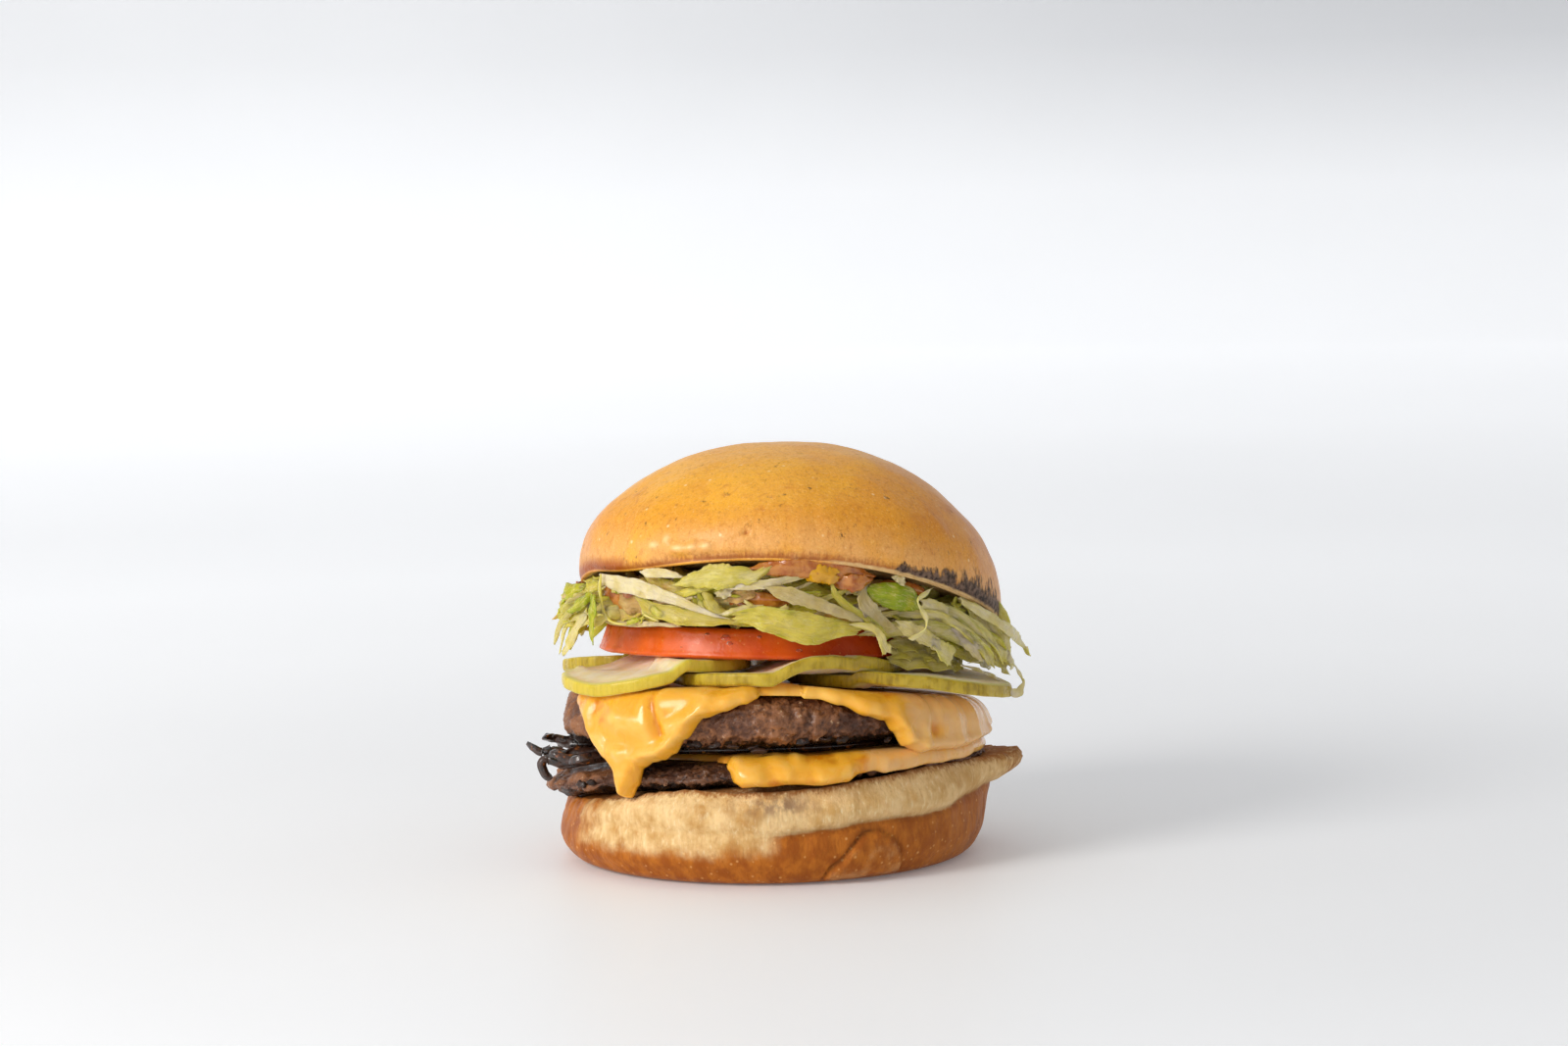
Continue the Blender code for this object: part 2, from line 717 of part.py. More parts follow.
def build():
    for old in list(bpy.data.objects):
        bpy.data.objects.remove(old)
    scene_group = bpy.context.scene.collection
    group = collection("hamburger", scene_group)
    rng = random.Random(SEED)
    bun_bottom(group)
    beef = material("beef", (0.10, 0.05, 0.03), 0.5)
    yellow = material("cheese", (0.80, 0.46, 0.10), 0.25)
    patty("patty_lower", lower_radius, heel_top, lower_patty_top, rng, group, beef)
    cheese("cheese_lower", lower_radius, lower_patty_top, lower_hem, lower_apron, group, yellow)
    onion(group, scene_group)
    patty("patty_upper", upper_radius, upper_patty_base, upper_patty_top, rng, group, beef, 0.66)
    cheese("cheese_upper", upper_radius, upper_patty_top, upper_hem, upper_apron, group, yellow)
    pickles(group)
    tomato(group)
    lettuce(group, scene_group)
    bun_top(group)


build()
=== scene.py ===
"""Looks of a double cheeseburger with lettuce, tomato, pickles and charred onion.

Shapes are worked out in millimetres and bearings in degrees round the upright axis: 0 faces -Y,
the camera's side, and 90 faces +X. They become metres when a mesh is made.
"""

import math

import bpy
import numpy as np
from mathutils import Matrix, Vector


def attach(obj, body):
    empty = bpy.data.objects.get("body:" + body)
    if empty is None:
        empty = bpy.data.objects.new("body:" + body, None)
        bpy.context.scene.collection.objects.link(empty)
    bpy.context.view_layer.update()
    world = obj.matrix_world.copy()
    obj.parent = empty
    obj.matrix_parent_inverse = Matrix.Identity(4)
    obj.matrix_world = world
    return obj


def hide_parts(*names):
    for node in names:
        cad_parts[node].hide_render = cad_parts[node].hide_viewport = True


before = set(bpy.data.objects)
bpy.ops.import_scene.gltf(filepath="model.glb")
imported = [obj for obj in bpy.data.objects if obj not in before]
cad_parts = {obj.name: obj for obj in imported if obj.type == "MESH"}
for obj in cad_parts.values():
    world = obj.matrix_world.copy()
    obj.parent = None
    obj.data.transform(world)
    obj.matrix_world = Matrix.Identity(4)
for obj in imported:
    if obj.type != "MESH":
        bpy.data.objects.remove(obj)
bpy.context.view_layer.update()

MM = 0.001
GAP = 0.35
BUN_RADIUS = 53.6
CROWN_CENTRE = (4.2, 0.5)
CROWN_RADIUS = 52.6
CROWN_RIM = 66.5
CROWN_APEX = (3.4, -2.0, 103.8)
PATTY_RADIUS = 52.3
SHEET = 1.7
TOMATO_RADIUS = 43.2
PICKLE_HALF = 1.55
PICKLE_GAP = 0.4

# Radii at which bearings are turned into lengths round a surface.
CROWN_ARC = 52
HEEL_ARC = 54
CHEESE_ARC = 56
HEM_ARC = 54.0

# Columns of points round each piece.
BUN_COLUMNS = 480
PATTY_COLUMNS = 640
CHEESE_COLUMNS = 720
TOMATO_COLUMNS = 420
PICKLE_COLUMNS = 300
CORE_COLUMNS = 300
ONION_COLUMNS = 180
FLOOR_COLUMNS = 96

# Each front slice of pickle: its centre and radius.
RIGHT_SLICE = ((31, -14), 28.5)
MIDDLE_SLICE = ((3, -22), 29.0)
LEFT_SLICE = ((-28.3, -20), 23.6)

# The photograph's view: degrees that the camera looks down and leans, and where it stands in m.
CAMERA_DOWN = 5.61
CAMERA_LEAN = -1.13
CAMERA_PLACE = (0.0036, -0.9325, 0.1747)
CAMERA_LENS = 85.0


# ---- numbers -----------------------------------------------------------------------------


def smooth(low, high, value):
    t = np.clip((np.asarray(value, float) - low) / (high - low), 0.0, 1.0)
    return t * t * (3 - 2 * t)


def hump(away, width):
    """1 at no distance away, falling to 0 over about twice the width."""
    return np.exp(-((away / width) ** 2))


def bump(bearing, centre, width):
    """Hump round a bearing."""
    return hump((bearing - centre + 180) % 360 - 180, width)


def window(bearing, start, end, soft):
    """1 between two bearings, falling to 0 outside over a soft width."""
    away = (bearing - (start + end) / 2 + 180) % 360 - 180
    return smooth((end - start) / 2 + soft, (end - start) / 2, np.abs(away))


def bearing_of(x, y):
    return np.degrees(np.arctan2(x, -y))


def on_bearing(bearing, radius, centre=(0.0, 0.0)):
    angle = np.radians(bearing)
    return centre[0] + radius * np.sin(angle), centre[1] - radius * np.cos(angle)


def between(stations, bearing):
    """Value at each bearing, from (bearing, value) stations joined smoothly all the way round."""
    start = stations[0][0]
    bearing = (np.asarray(bearing, float) - start) % 360 + start
    ring = list(stations) + [(start + 360, stations[0][1])]
    value = np.full(bearing.shape, float(ring[0][1]))
    for (b0, v0), (b1, v1) in zip(ring, ring[1:]):
        value = np.where(bearing >= b0, v0 + (v1 - v0) * smooth(b0, b1, bearing), value)
    return value


def hashed(cell, seed):
    """Repeatable 30-bit number for each integer cell."""
    c = cell.astype(np.int64)
    h = c[..., 0] * 73856093 ^ c[..., 1] * 19349663 ^ c[..., 2] * 83492791 ^ (seed + 1) * 40503
    h &= 0xFFFFFFFF
    for _ in range(2):
        h = ((h ^ (h >> 16)) * 0x45D9F3B) & 0xFFFFFFFF
    return (h ^ (h >> 16)) & 0x3FFFFFFF


def thirds(h):
    """Three values of 0 to 1 from each hashed number."""
    return np.stack([h & 1023, h >> 10 & 1023, h >> 20 & 1023], -1) / 1023.0


def noise(p, size, seed=0, octaves=1, stretch=(1, 1, 1)):
    """Gradient noise of about -1 to 1 with features of a size in mm."""
    total, share = 0.0, 1.0
    for octave in range(octaves):
        q = np.asarray(p, float) / np.asarray(stretch) / size * 2**octave
        base = np.floor(q)
        f = q - base
        w = f * f * f * (f * (f * 6 - 15) + 10)
        for corner in range(8):
            o = np.array([corner & 1, corner >> 1 & 1, corner >> 2 & 1])
            slope = thirds(hashed(base + o, seed + 17 * octave)) * 2 - 1
            weight = np.prod(np.where(o, w, 1 - w), -1)
            total = total + share * 1.5 * (slope * (f - o)).sum(-1) * weight
        share *= 0.5
    return total


def cells(p, size, seed=0):
    """Distances to the nearest two scattered points, in cells, and the nearest one's own value."""
    q = np.asarray(p, float) / size
    base = np.floor(q)
    first, second = np.full(q.shape[:-1], 9.0), np.full(q.shape[:-1], 9.0)
    own = np.zeros(q.shape[:-1])
    for k in range(27):
        o = np.array([k % 3 - 1, k // 3 % 3 - 1, k // 9 - 1])
        h = hashed(base + o, seed)
        away = np.linalg.norm(base + o + thirds(h) - q, axis=-1)
        nearer = away < first
        second = np.where(nearer, first, np.minimum(second, away))
        own = np.where(nearer, (h >> 5 & 255) / 255.0, own)
        first = np.where(nearer, away, first)
    return first, second, own


def to_segment(s, z, a, b):
    """Distance from points (s, z) to the segment from a to b."""
    ds, dz = b[0] - a[0], b[1] - a[1]
    t = np.clip(((s - a[0]) * ds + (z - a[1]) * dz) / (ds * ds + dz * dz), 0, 1)
    return np.hypot(s - a[0] - ds * t, z - a[1] - dz * t)


# ---- heights of the layers ---------------------------------------------------------------


def lean(y, front, back):
    """Rise of a layer towards the front, and its fall towards the back, by a share of y."""
    return -y * np.where(y < 0, front, back)


def heel_top(x, y):
    dip = 1.8 * bump(bearing_of(x, y), -75, 28) * smooth(30, 48, np.hypot(x, y))
    return 19.3 + 0.045 * x + lean(y, 0.10, 0.06) - dip


def lower_patty_top(x, y):
    sag = 2.6 * bump(bearing_of(x, y), -72, 24) * smooth(40, 50, np.hypot(x, y))
    return 25.6 + 0.02 * x + lean(y, 0.08, 0.05) - sag


def upper_patty_base(x, y):
    return 29.3 + 0.02 * x + lean(y, 0.08, 0.05)


def upper_patty_top(x, y):
    knob = 3.2 * bump(bearing_of(x, y), -83, 22) * smooth(43, 50, np.hypot(x, y))
    return 39.7 - 0.03 * x - 0.0009 * x * x + lean(y, 0.125, 0.07) + knob


def cheese_top(x, y):
    return upper_patty_top(x, y) + GAP + SHEET


def tomato_base(x, y):
    return 51.1 - 0.026 * x + lean(y, 0.0715, 0.06)


def tomato_top(x, y):
    return 57.6 - 0.030 * x + lean(y, 0.090, 0.065)


def crown_rim(x, y):
    u, v = x / 53.0, -y / 53.0
    left = 2.0 * np.exp(-((x + 47) ** 2 + (y + 20) ** 2) / 200)
    swell = 3.4 * (v * v - u * u + u * np.maximum(v, 0.0))
    return CROWN_RIM + 9.9 * v - 5.55 * u + swell + left


def crown_base(x, y):
    radius = np.hypot(x - CROWN_CENTRE[0], y - CROWN_CENTRE[1])
    return crown_rim(x, y) + 1.5 * (1 - smooth(46, 52, radius))


# ---- meshes ------------------------------------------------------------------------------


def make_mesh(name, points, faces, masks, look):
    """Mesh object from points in mm, arrays of quads or triangles, and a value per point."""
    mesh = bpy.data.meshes.new(name)
    mesh.vertices.add(len(points))
    mesh.vertices.foreach_set("co", (np.asarray(points, float) * MM).ravel())
    corners = np.concatenate([f.ravel() for f in faces])
    sizes = np.concatenate([np.full(len(f), f.shape[1]) for f in faces])
    mesh.loops.add(len(corners))
    mesh.loops.foreach_set("vertex_index", corners.astype(np.int32))
    mesh.polygons.add(len(sizes))
    starts = np.concatenate([[0], np.cumsum(sizes)[:-1]])
    mesh.polygons.foreach_set("loop_start", starts.astype(np.int32))
    mesh.polygons.foreach_set("use_smooth", np.ones(len(sizes), bool))
    for key, values in masks.items():
        layer = mesh.attributes.new(key, "FLOAT", "POINT")
        layer.data.foreach_set("value", np.asarray(values, np.float32).ravel())
    mesh.update(calc_edges=True)
    mesh.validate()
    mesh.materials.append(look)
    made = bpy.data.objects.new(name, mesh)
    bpy.context.scene.collection.objects.link(made)
    return made


def normals(p):
    """Outward unit normals of rings of points."""
    around = np.roll(p, -1, 1) - np.roll(p, 1, 1)
    n = np.cross(around, np.gradient(p, axis=0))
    return n / np.maximum(np.linalg.norm(n, axis=-1, keepdims=True), 1e-9)


def resampled(stations, steps):
    """Smooth rows through the station rows, and where each station falls among them.

    steps gives the spacing of the rows in each span, in mm.
    """
    p = np.array(stations, float)
    gaps = np.linalg.norm(np.diff(p, axis=0), axis=-1).mean(1)
    slope = np.diff(p, axis=0) / gaps[:, None, None]
    m = np.concatenate([slope[:1], slope])
    before, after = gaps[:-1, None, None], gaps[1:, None, None]
    m[1:-1] = (slope[:-1] * after + slope[1:] * before) / (before + after)
    rows, marks = [p[0]], [0]
    for k, gap in enumerate(gaps):
        count = max(1, round(gap / steps[k]))
        for i in range(1, count + 1):
            t = i / count
            rows.append(
                (2 * t**3 - 3 * t**2 + 1) * p[k] + (t**3 - 2 * t**2 + t) * gap * m[k]
                + (3 * t**2 - 2 * t**3) * p[k + 1] + (t**3 - t**2) * gap * m[k + 1]
            )
        marks.append(len(rows) - 1)
    return np.array(rows), marks


def ring_faces(rows, columns):
    """Quads between rings of points, and the two fans that close them."""
    k = np.arange(columns)
    n = (k + 1) % columns
    a = (np.arange(rows - 1) * columns)[:, None]
    quads = np.stack([a + k, a + n, a + columns + n, a + columns + k], -1).reshape(-1, 4)
    low, high, last = rows * columns, rows * columns + 1, (rows - 1) * columns
    fans = [
        np.stack([np.full(columns, low), n, k], -1),
        np.stack([np.full(columns, high), last + k, last + n], -1),
    ]
    return [quads, np.concatenate(fans)]


def closed_piece(name, p, masks, look, slot, *nodes):
    """Piece from rings of points, closed at the middle of its first and last ring."""
    rows, columns = p.shape[:2]
    points = np.concatenate([p.reshape(-1, 3), [p[0].mean(0), p[-1].mean(0)]])
    values = {}
    for key, mask in masks.items():
        mask = np.broadcast_to(mask, (rows, columns))
        values[key] = np.concatenate([mask.ravel(), [mask[0].mean(), mask[-1].mean()]])
    made = make_mesh(name, points, ring_faces(rows, columns), values, look)
    return worn(made, slot, *nodes)


def worn(made, slot, *nodes):
    """Hang a piece under the root body and hide the nodes that it dresses. slot is not used."""
    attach(made, "root")
    if nodes:
        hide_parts(*nodes)
    return made


def all_round(columns):
    return np.arange(columns) * 360.0 / columns


# ---- materials ---------------------------------------------------------------------------


def srgb(r, g, b):
    """Linear colour with alpha from display values of 0 to 255."""
    share = np.array([r, g, b]) / 255.0
    line = np.where(share > 0.04045, ((share + 0.055) / 1.055) ** 2.4, share / 12.92)
    return (*line, 1.0)


class Look:
    """A Principled material, with short ways to add the nodes that drive it."""

    def __init__(self, name, **values):
        self.made = bpy.data.materials.new(name)
        self.made.use_nodes = True
        self.tree = self.made.node_tree
        self.shader = self.tree.nodes["Principled BSDF"]
        for key, value in values.items():
            self.shader.inputs[key.replace("_", " ")].default_value = value
        self.space = self.tree.nodes.new("ShaderNodeTexCoord").outputs["Object"]

    def node(self, kind, inputs, **settings):
        made = self.tree.nodes.new("ShaderNode" + kind)
        for key, value in settings.items():
            setattr(made, key, value)
        for key, value in inputs.items():
            self.put(value, made.inputs[key])
        return made

    def put(self, value, socket):
        if isinstance(value, bpy.types.NodeSocket):
            self.tree.links.new(value, socket)
        else:
            socket.default_value = value

    def drive(self, **values):
        for key, value in values.items():
            self.put(value, self.shader.inputs[key.replace("_", " ")])

    def mask(self, name):
        return self.node("Attribute", {}, attribute_name=name).outputs["Fac"]

    def noise(self, size, detail=2.0, rough=0.5, warp=0.0, stretch=None):
        """Noise with features of a size in mm, drawn out by stretch along each axis."""
        space = self.space
        if stretch:
            scale = tuple(1.0 / s for s in stretch)
            space = self.node("Mapping", {"Vector": space, "Scale": scale}).outputs[0]
        inputs = {"Vector": space, "Scale": 1000.0 / size, "Detail": detail}
        inputs.update({"Roughness": rough, "Distortion": warp})
        return self.node("TexNoise", inputs).outputs["Fac"]

    def cells(self, size):
        """Distance to the nearest of scattered points, size mm apart."""
        inputs = {"Vector": self.space, "Scale": 1000.0 / size}
        return self.node("TexVoronoi", inputs).outputs["Distance"]

    def math(self, kind, a, b=0.0):
        return self.node("Math", {0: a, 1: b}, operation=kind).outputs[0]

    def times(self, *values):
        total = values[0]
        for value in values[1:]:
            total = self.math("MULTIPLY", total, value)
        return total

    def plus(self, *values):
        total = values[0]
        for value in values[1:]:
            total = self.math("ADD", total, value)
        return total

    def swing(self, value, size):
        """A value of 0 to 1 turned into a swing to both sides of 0."""
        return self.times(self.math("SUBTRACT", value, 0.5), size)

    def ease(self, value, low, high, start=0.0, end=1.0):
        """Smooth step from start to end as value goes from low to high."""
        inputs = {"Value": value, "From Min": low, "From Max": high}
        inputs.update({"To Min": start, "To Max": end})
        return self.node("MapRange", inputs, interpolation_type="SMOOTHSTEP").outputs[0]

    def mix(self, share, a, b):
        """Mix of two colours, each a socket or display values of 0 to 255."""
        a, b = (srgb(*c) if isinstance(c, tuple) else c for c in (a, b))
        return self.node("Mix", {0: share, 6: a, 7: b}, data_type="RGBA").outputs[2]

    def over(self, base, *coats):
        """The base under coats of (share, colour), the first one lowest."""
        for share, colour in coats:
            base = self.mix(share, base, colour)
        return base

    def bump(self, height, depth, under=None):
        """Normal from a height of 0 to 1 that stands depth mm tall."""
        inputs = {"Height": height, "Distance": depth * MM, "Strength": 1.0}
        if under is not None:
            inputs["Normal"] = under
        return self.node("Bump", inputs).outputs[0]


# ---- camera, floor and light ---------------------------------------------------------------


def camera():
    data = bpy.data.cameras.new("camera")
    data.lens, data.sensor_width = CAMERA_LENS, 36.0
    data.clip_start, data.clip_end = 0.05, 20.0
    made = bpy.data.objects.new("camera", data)
    bpy.context.scene.collection.objects.link(made)
    tilt = Matrix.Rotation(math.radians(90 - CAMERA_DOWN), 4, "X")
    roll = Matrix.Rotation(math.radians(CAMERA_LEAN), 4, "Z")
    made.matrix_world = Matrix.Translation(CAMERA_PLACE) @ tilt @ roll
    bpy.context.scene.camera = made


def area_light(name, place, target, size, power, color=(1, 1, 1)):
    data = bpy.data.lights.new(name, "AREA")
    data.shape, data.size, data.energy, data.color = "DISK", size, power, color
    made = bpy.data.objects.new(name, data)
    bpy.context.scene.collection.objects.link(made)
    ahead = np.array(target) - np.array(place)
    made.matrix_world = Matrix.Translation(place) @ (
        Vector(ahead).to_track_quat("-Z", "Y").to_matrix().to_4x4()
    )


def studio():
    """Pale floor that rises into a wall all round, soft lights, and a pale sky."""
    look = Look("studio_floor", Roughness=0.5, Emission_Color=(0.96, 0.975, 1.0, 1.0))
    tone = look.noise(160, 2)
    pale = look.mix(tone, (238, 239, 241), (244, 245, 247))
    # The backdrop is painted greyer towards its top right: painted shade.
    look.drive(Base_Color=look.mix(look.mask("dusk"), pale, (200, 202, 206)))
    # The floor and wall glow as painted light: faintly everywhere, brighter out on the wall, dimmer
    # to the right and at the top.
    look.drive(Emission_Strength=look.plus(0.09, look.times(look.mask("wall"), 0.43)))
    b = all_round(FLOOR_COLUMNS)
    under_burger = -0.25
    rows = []
    for radius, height in (
        (60, 0), (200, 0), (400, 0), (650, 0), (900, 0), (1500, 0), (1900, 30), (2200, 150),
        (2320, 270), (2400, 400), (2480, 800), (2500, 1400),
    ):
        x, y = on_bearing(b, radius)
        rows.append(np.stack([x, y, np.full_like(x, height + under_burger)], -1))
    p = np.array(rows)
    quads = ring_faces(*p.shape[:2])[0]
    points = np.concatenate([p.reshape(-1, 3), [[0, 0, under_burger]]])
    k = np.arange(FLOOR_COLUMNS)
    middle = np.stack([np.full(len(k), len(points) - 1), (k + 1) % len(k), k], -1)[:, ::-1]
    away = np.hypot(points[:, 0], points[:, 1])
    # Glow of the floor and wall, painted light: it grows outwards and fades to the right and
    # towards the top.
    wall = 0.5 * smooth(80, 650, away) + 0.5 * smooth(700, 2100, away)
    right, high = smooth(-500, 800, points[:, 0]), smooth(60, 380, points[:, 2])
    wall = wall * (1 - 0.18 * right) * (1 - high * (0.68 + 0.3 * right))
    # dusk marks the top right of the backdrop, where shade is painted into its colour.
    masks = {"wall": wall, "dusk": high * right}
    make_mesh("floor", points, [quads[:, ::-1], middle], masks, look.made)
    world = bpy.data.worlds.new("sky")
    world.use_nodes = True
    sky = world.node_tree.nodes["Background"].inputs
    sky["Color"].default_value = (1.0, 0.995, 0.985, 1.0)
    sky["Strength"].default_value = 0.44
    bpy.context.scene.world = world
    area_light("key", (-0.95, -0.75, 0.62), (0, 0, 0.05), 0.6, 11.0, (1, 0.975, 0.94))
    area_light("top", (-0.15, 0.25, 1.1), (0, 0, 0.05), 0.7, 1.2)
    bpy.context.scene.view_settings.view_transform = "Standard"


# ---- bun ---------------------------------------------------------------------------------


def crown_look():
    look = Look(
        "brioche_crust", Specular_IOR_Level=0.2, Subsurface_Weight=0.06, Subsurface_Scale=0.0015,
        Subsurface_Radius=(1.0, 0.45, 0.2), Coat_Weight=0.09, Coat_Roughness=0.22,
    )
    tone, rise = look.mask("tone"), look.mask("rise")
    broad = look.noise(9, 3, 0.55)
    fine = look.noise(1.1, 3, 0.6, stretch=(1, 1, 2.4))
    # tone is mostly painted light and shade: the crust lighter on the left and at the apex, darker
    # on the right.
    shade = look.plus(tone, look.swing(broad, 0.75))
    base = look.mix(look.ease(shade, 0.0, 0.55), (243, 174, 40), (228, 152, 40))
    base = look.mix(look.ease(shade, 0.5, 1.1), base, (200, 114, 34))
    low = look.times(look.ease(rise, 14.0, 4.0), look.ease(broad, 0.3, 0.6, 0.25, 0.7))
    base = look.over(
        base,
        (low, (232, 172, 104)),
        (look.ease(fine, 0.52, 0.72, 0, 0.34), (170, 92, 30)),
        (look.ease(fine, 0.44, 0.26, 0, 0.30), (246, 188, 100)),
    )
    speck = look.noise(0.5, 2, 0.6)
    base = look.over(
        base,
        (look.ease(speck, 0.56, 0.74, 0, 0.45), (250, 206, 128)),
        (look.ease(speck, 0.42, 0.26, 0, 0.35), (150, 82, 26)),
    )
    stain = look.noise(4.0, 4, 0.7, 0.6)
    base = look.mix(look.ease(stain, 0.56, 0.70, 0, 0.38), base, (200, 116, 34))
    spots = look.cells(5.5)
    base = look.over(
        base,
        (look.ease(spots, 0.10, 0.04, 0, 0.65), (252, 222, 166)),
        # Pale glossy marks on the blisters: painted highlight.
        (look.times(look.mask("blister"), 0.75), (255, 222, 158)),
    )
    feather = look.noise(0.8, 2, 0.6, stretch=(1, 1, 4))
    edge = look.plus(rise, look.swing(feather, 3.4))
    base = look.over(
        base,
        (look.ease(edge, 2.9, 0.6, 0, 0.8), (152, 74, 24)),
        (look.times(look.mask("caramel"), 0.85), (164, 78, 14)),
    )
    streak = look.noise(1.0, 4, 0.7, stretch=(1, 1, 2.6))
    patchy = look.plus(look.swing(streak, 1.3), look.swing(look.noise(3.4, 2), 1.3))
    burnt = look.ease(look.plus(look.mask("char"), patchy), 0.26, 0.66)
    ash = look.mix(look.ease(look.noise(1.3, 3, 0.6), 0.35, 0.65), (26, 20, 20), (122, 98, 82))
    base = look.mix(look.times(burnt, 0.96), base, ash)
    cut = look.mask("cut")
    crumb = look.mix(look.noise(1.6, 3), (236, 206, 150), (206, 150, 82))
    base = look.mix(cut, base, crumb)
    look.drive(Base_Color=base)
    gloss = look.plus(look.times(fine, 0.22), 0.24, look.times(burnt, 0.3), look.times(cut, 0.3))
    look.drive(Roughness=gloss)
    skin = look.noise(0.75, 3, 0.6)
    under = look.bump(look.noise(2.6, 3, 0.6), 0.2)
    under = look.bump(skin, 0.17, under)
    look.drive(Normal=look.bump(look.times(burnt, streak), 0.6, under))
    return look.made


def crown():
    b = all_round(BUN_COLUMNS)
    rim = CROWN_RADIUS + 1.0 * bump(b, 90, 30) - 0.6 * bump(b, 0, 30)
    rim_x, rim_y = on_bearing(b, rim, CROWN_CENTRE)
    rim_z = crown_rim(rim_x, rim_y)
    rows = []
    for reach in (6.0, 24.0, 40.0, 46.0, 49.4, 51.0):
        x, y = on_bearing(b, np.minimum(reach, rim - 1.2), CROWN_CENTRE)
        rows.append(np.stack([x, y, crown_base(x, y)], -1))
    roundness = 2 / 2.12
    for turn in (
        -0.004, 0.02, 0.05, 0.1, 0.17, 0.25, 0.34, 0.43, 0.52, 0.61, 0.7, 0.79, 0.87, 0.94, 0.98,
    ):
        angle = max(turn, 0.0) * math.pi / 2
        out, up = math.cos(angle) ** roundness, math.sin(angle) ** roundness
        out += 0.018 * math.sin(math.pi * min(1.0, max(turn, 0) * 2.2))
        z = rim_z + (CROWN_APEX[2] - rim_z) * up
        x = CROWN_APEX[0] + (rim_x - CROWN_APEX[0]) * out
        y = CROWN_APEX[1] + (rim_y - CROWN_APEX[1]) * out
        if turn < 0:
            x, y = on_bearing(b, rim - 0.35, CROWN_CENTRE)
            z = rim_z
        rows.append(np.stack([x, y, z], -1))
    steps = [4, 4, 3, 1.2, 0.7, 0.4, 0.4] + [0.62] * 13
    p, marks = resampled(rows, steps)
    x, y, z = p[..., 0], p[..., 1], p[..., 2]
    bearing = bearing_of(x - CROWN_CENTRE[0], y - CROWN_CENTRE[1])
    row = np.arange(len(p))[:, None]
    first = marks[6]
    dome = smooth(first - 1, first + 5, row) * np.ones_like(z)
    rise = np.maximum(z - rim_z, 0.0)
    push = 0.42 * noise(p, 26, 3) + 0.24 * noise(p, 11, 4) + 0.08 * noise(p, 4, 5, 2)
    s = np.radians(bearing) * CROWN_ARC
    front = window(bearing, -100, 100, 15)

    def patch(b0, z0, wide, tall):
        across = (s - math.radians(b0) * CROWN_ARC) / wide
        return np.exp(-(across**2) - ((z - z0) / tall) ** 2)

    # The raised blisters also get a pale mark on their tops: painted highlight.
    blister = 0.0
    for b0, z0, wide, tall, high in (
        (-30, 82.2, 6.4, 1.5, 0.5), (-38, 82.0, 1.5, 1.3, 0.6), (-34, 83.6, 1.0, 1.5, 0.5),
        (-30, 81.6, 1.9, 1.0, 0.6), (-26, 82.0, 1.2, 0.9, 0.5), (-22, 82.4, 1.3, 1.1, 0.6),
        (-30, 79.4, 6.0, 0.8, -0.45), (2, 79.0, 1.0, 1.6, 0.5), (-70, 88, 6, 8, 0.5),
        (-20, 92, 8, 2.5, -0.3), (30, 80, 7, 2.4, 0.4), (50, 84, 3, 3, 0.45), (8, 88, 2, 5, -0.25),
        (-46, 90, 7, 6, 0.35), (-8, 84.5, 1.6, 2.4, -0.28), (16, 96, 9, 4, -0.35),
        (38, 88, 10, 6, 0.35), (64, 76, 5, 5, 0.3), (-62, 78, 6, 4, 0.35),
        (-66, 74.5, 4, 1.2, -0.4),
    ):
        push = push + high * patch(b0, z0, wide, tall) * front
        blister = blister + (high > 0.45) * (wide < 3) * patch(b0, z0 + 0.4, 0.8 * wide, 0.6 * tall)
    pit = np.hypot(s - math.radians(-11) * CROWN_ARC, z - 86)
    push -= 0.7 * hump(pit, 0.55) * front
    for a, c in (((-11, 86), (-8.4, 88.6)), ((-11, 86), (-9, 82.6)), ((-11, 86), (-14, 84.6))):
        line = to_segment(
            s + 0.5 * noise(p, 2.0, 9), z,
            (math.radians(a[0]) * CROWN_ARC, a[1]), (math.radians(c[0]) * CROWN_ARC, c[1]),
        )
        push -= 0.3 * hump(line, 0.4) * front
    roll = window(bearing, -22, 26, 14)
    crease = rise - 2.0 - 0.4 * noise(p, 9, 12)
    push -= 0.35 * hump(crease, 0.5) * (0.25 + 0.75 * roll)
    push -= 0.5 * smooth(2.0, 0.0, rise)
    p = p + normals(p) * (push * dome)[..., None]
    # tone paints light and shade into the crust: lighter on the left and at the apex, darker on the
    # right; it also darkens low on the left, lightens low at the front and changes at random.
    tone = between(((-180, 0.66), (-120, 0.56), (-50, 0.36), (75, 0.76), (130, 0.76)), bearing)
    tone = 0.55 + (tone - 0.55) * smooth(104, 96, z) - 0.4 * smooth(86, 102, z)
    tone = tone + 0.5 * window(bearing, -130, -70, 26) * smooth(96, 76, z)
    tone = tone - 0.25 * smooth(88, 72, z) * window(bearing, -60, 30, 45) + 0.12 * noise(p, 30, 8)
    reach_up = between(
        ((-180, 0), (29, 0), (32, 4.6), (36, 3.4), (42, 4.8), (48, 5.6), (56, 7.4), (66, 8.6),
         (78, 8.0), (92, 0)), bearing)
    burnt = np.clip(1.15 - rise / np.maximum(reach_up, 0.05), 0, 1) * smooth(0.3, 1.2, reach_up)
    low_left = window(bearing, -110, -52, 8) * smooth(4.5, 1.5, rise)
    masks = {
        "tone": tone,
        "rise": np.where(dome > 0.3, rise, 9.0),
        "char": burnt * (dome > 0.2),
        "blister": np.clip(blister * front, 0, 1),
        "caramel": np.maximum(low_left, 0.9 * hump(pit, 0.5) * front) * (dome > 0.3),
        "cut": np.maximum(
            1 - smooth(first - 3, first - 1, row) * np.ones_like(z),
            smooth(0.9, 0.5, rise + 0.3 * noise(p, 2, 14)) * window(bearing, 16, 84, 8),
        ),
    }
    closed_piece("crown", p, masks, crown_look(), "crust", "bun_top")


def heel_rim(b):
    swell = 1.7 * bump(b, -27, 14) + 1.2 * bump(b, 45, 22) - 1.6 * bump(b, -75, 25)
    return 20.3 + 3.2 * np.cos(np.radians(b)) + 3.6 * np.sin(np.radians(b)) + swell


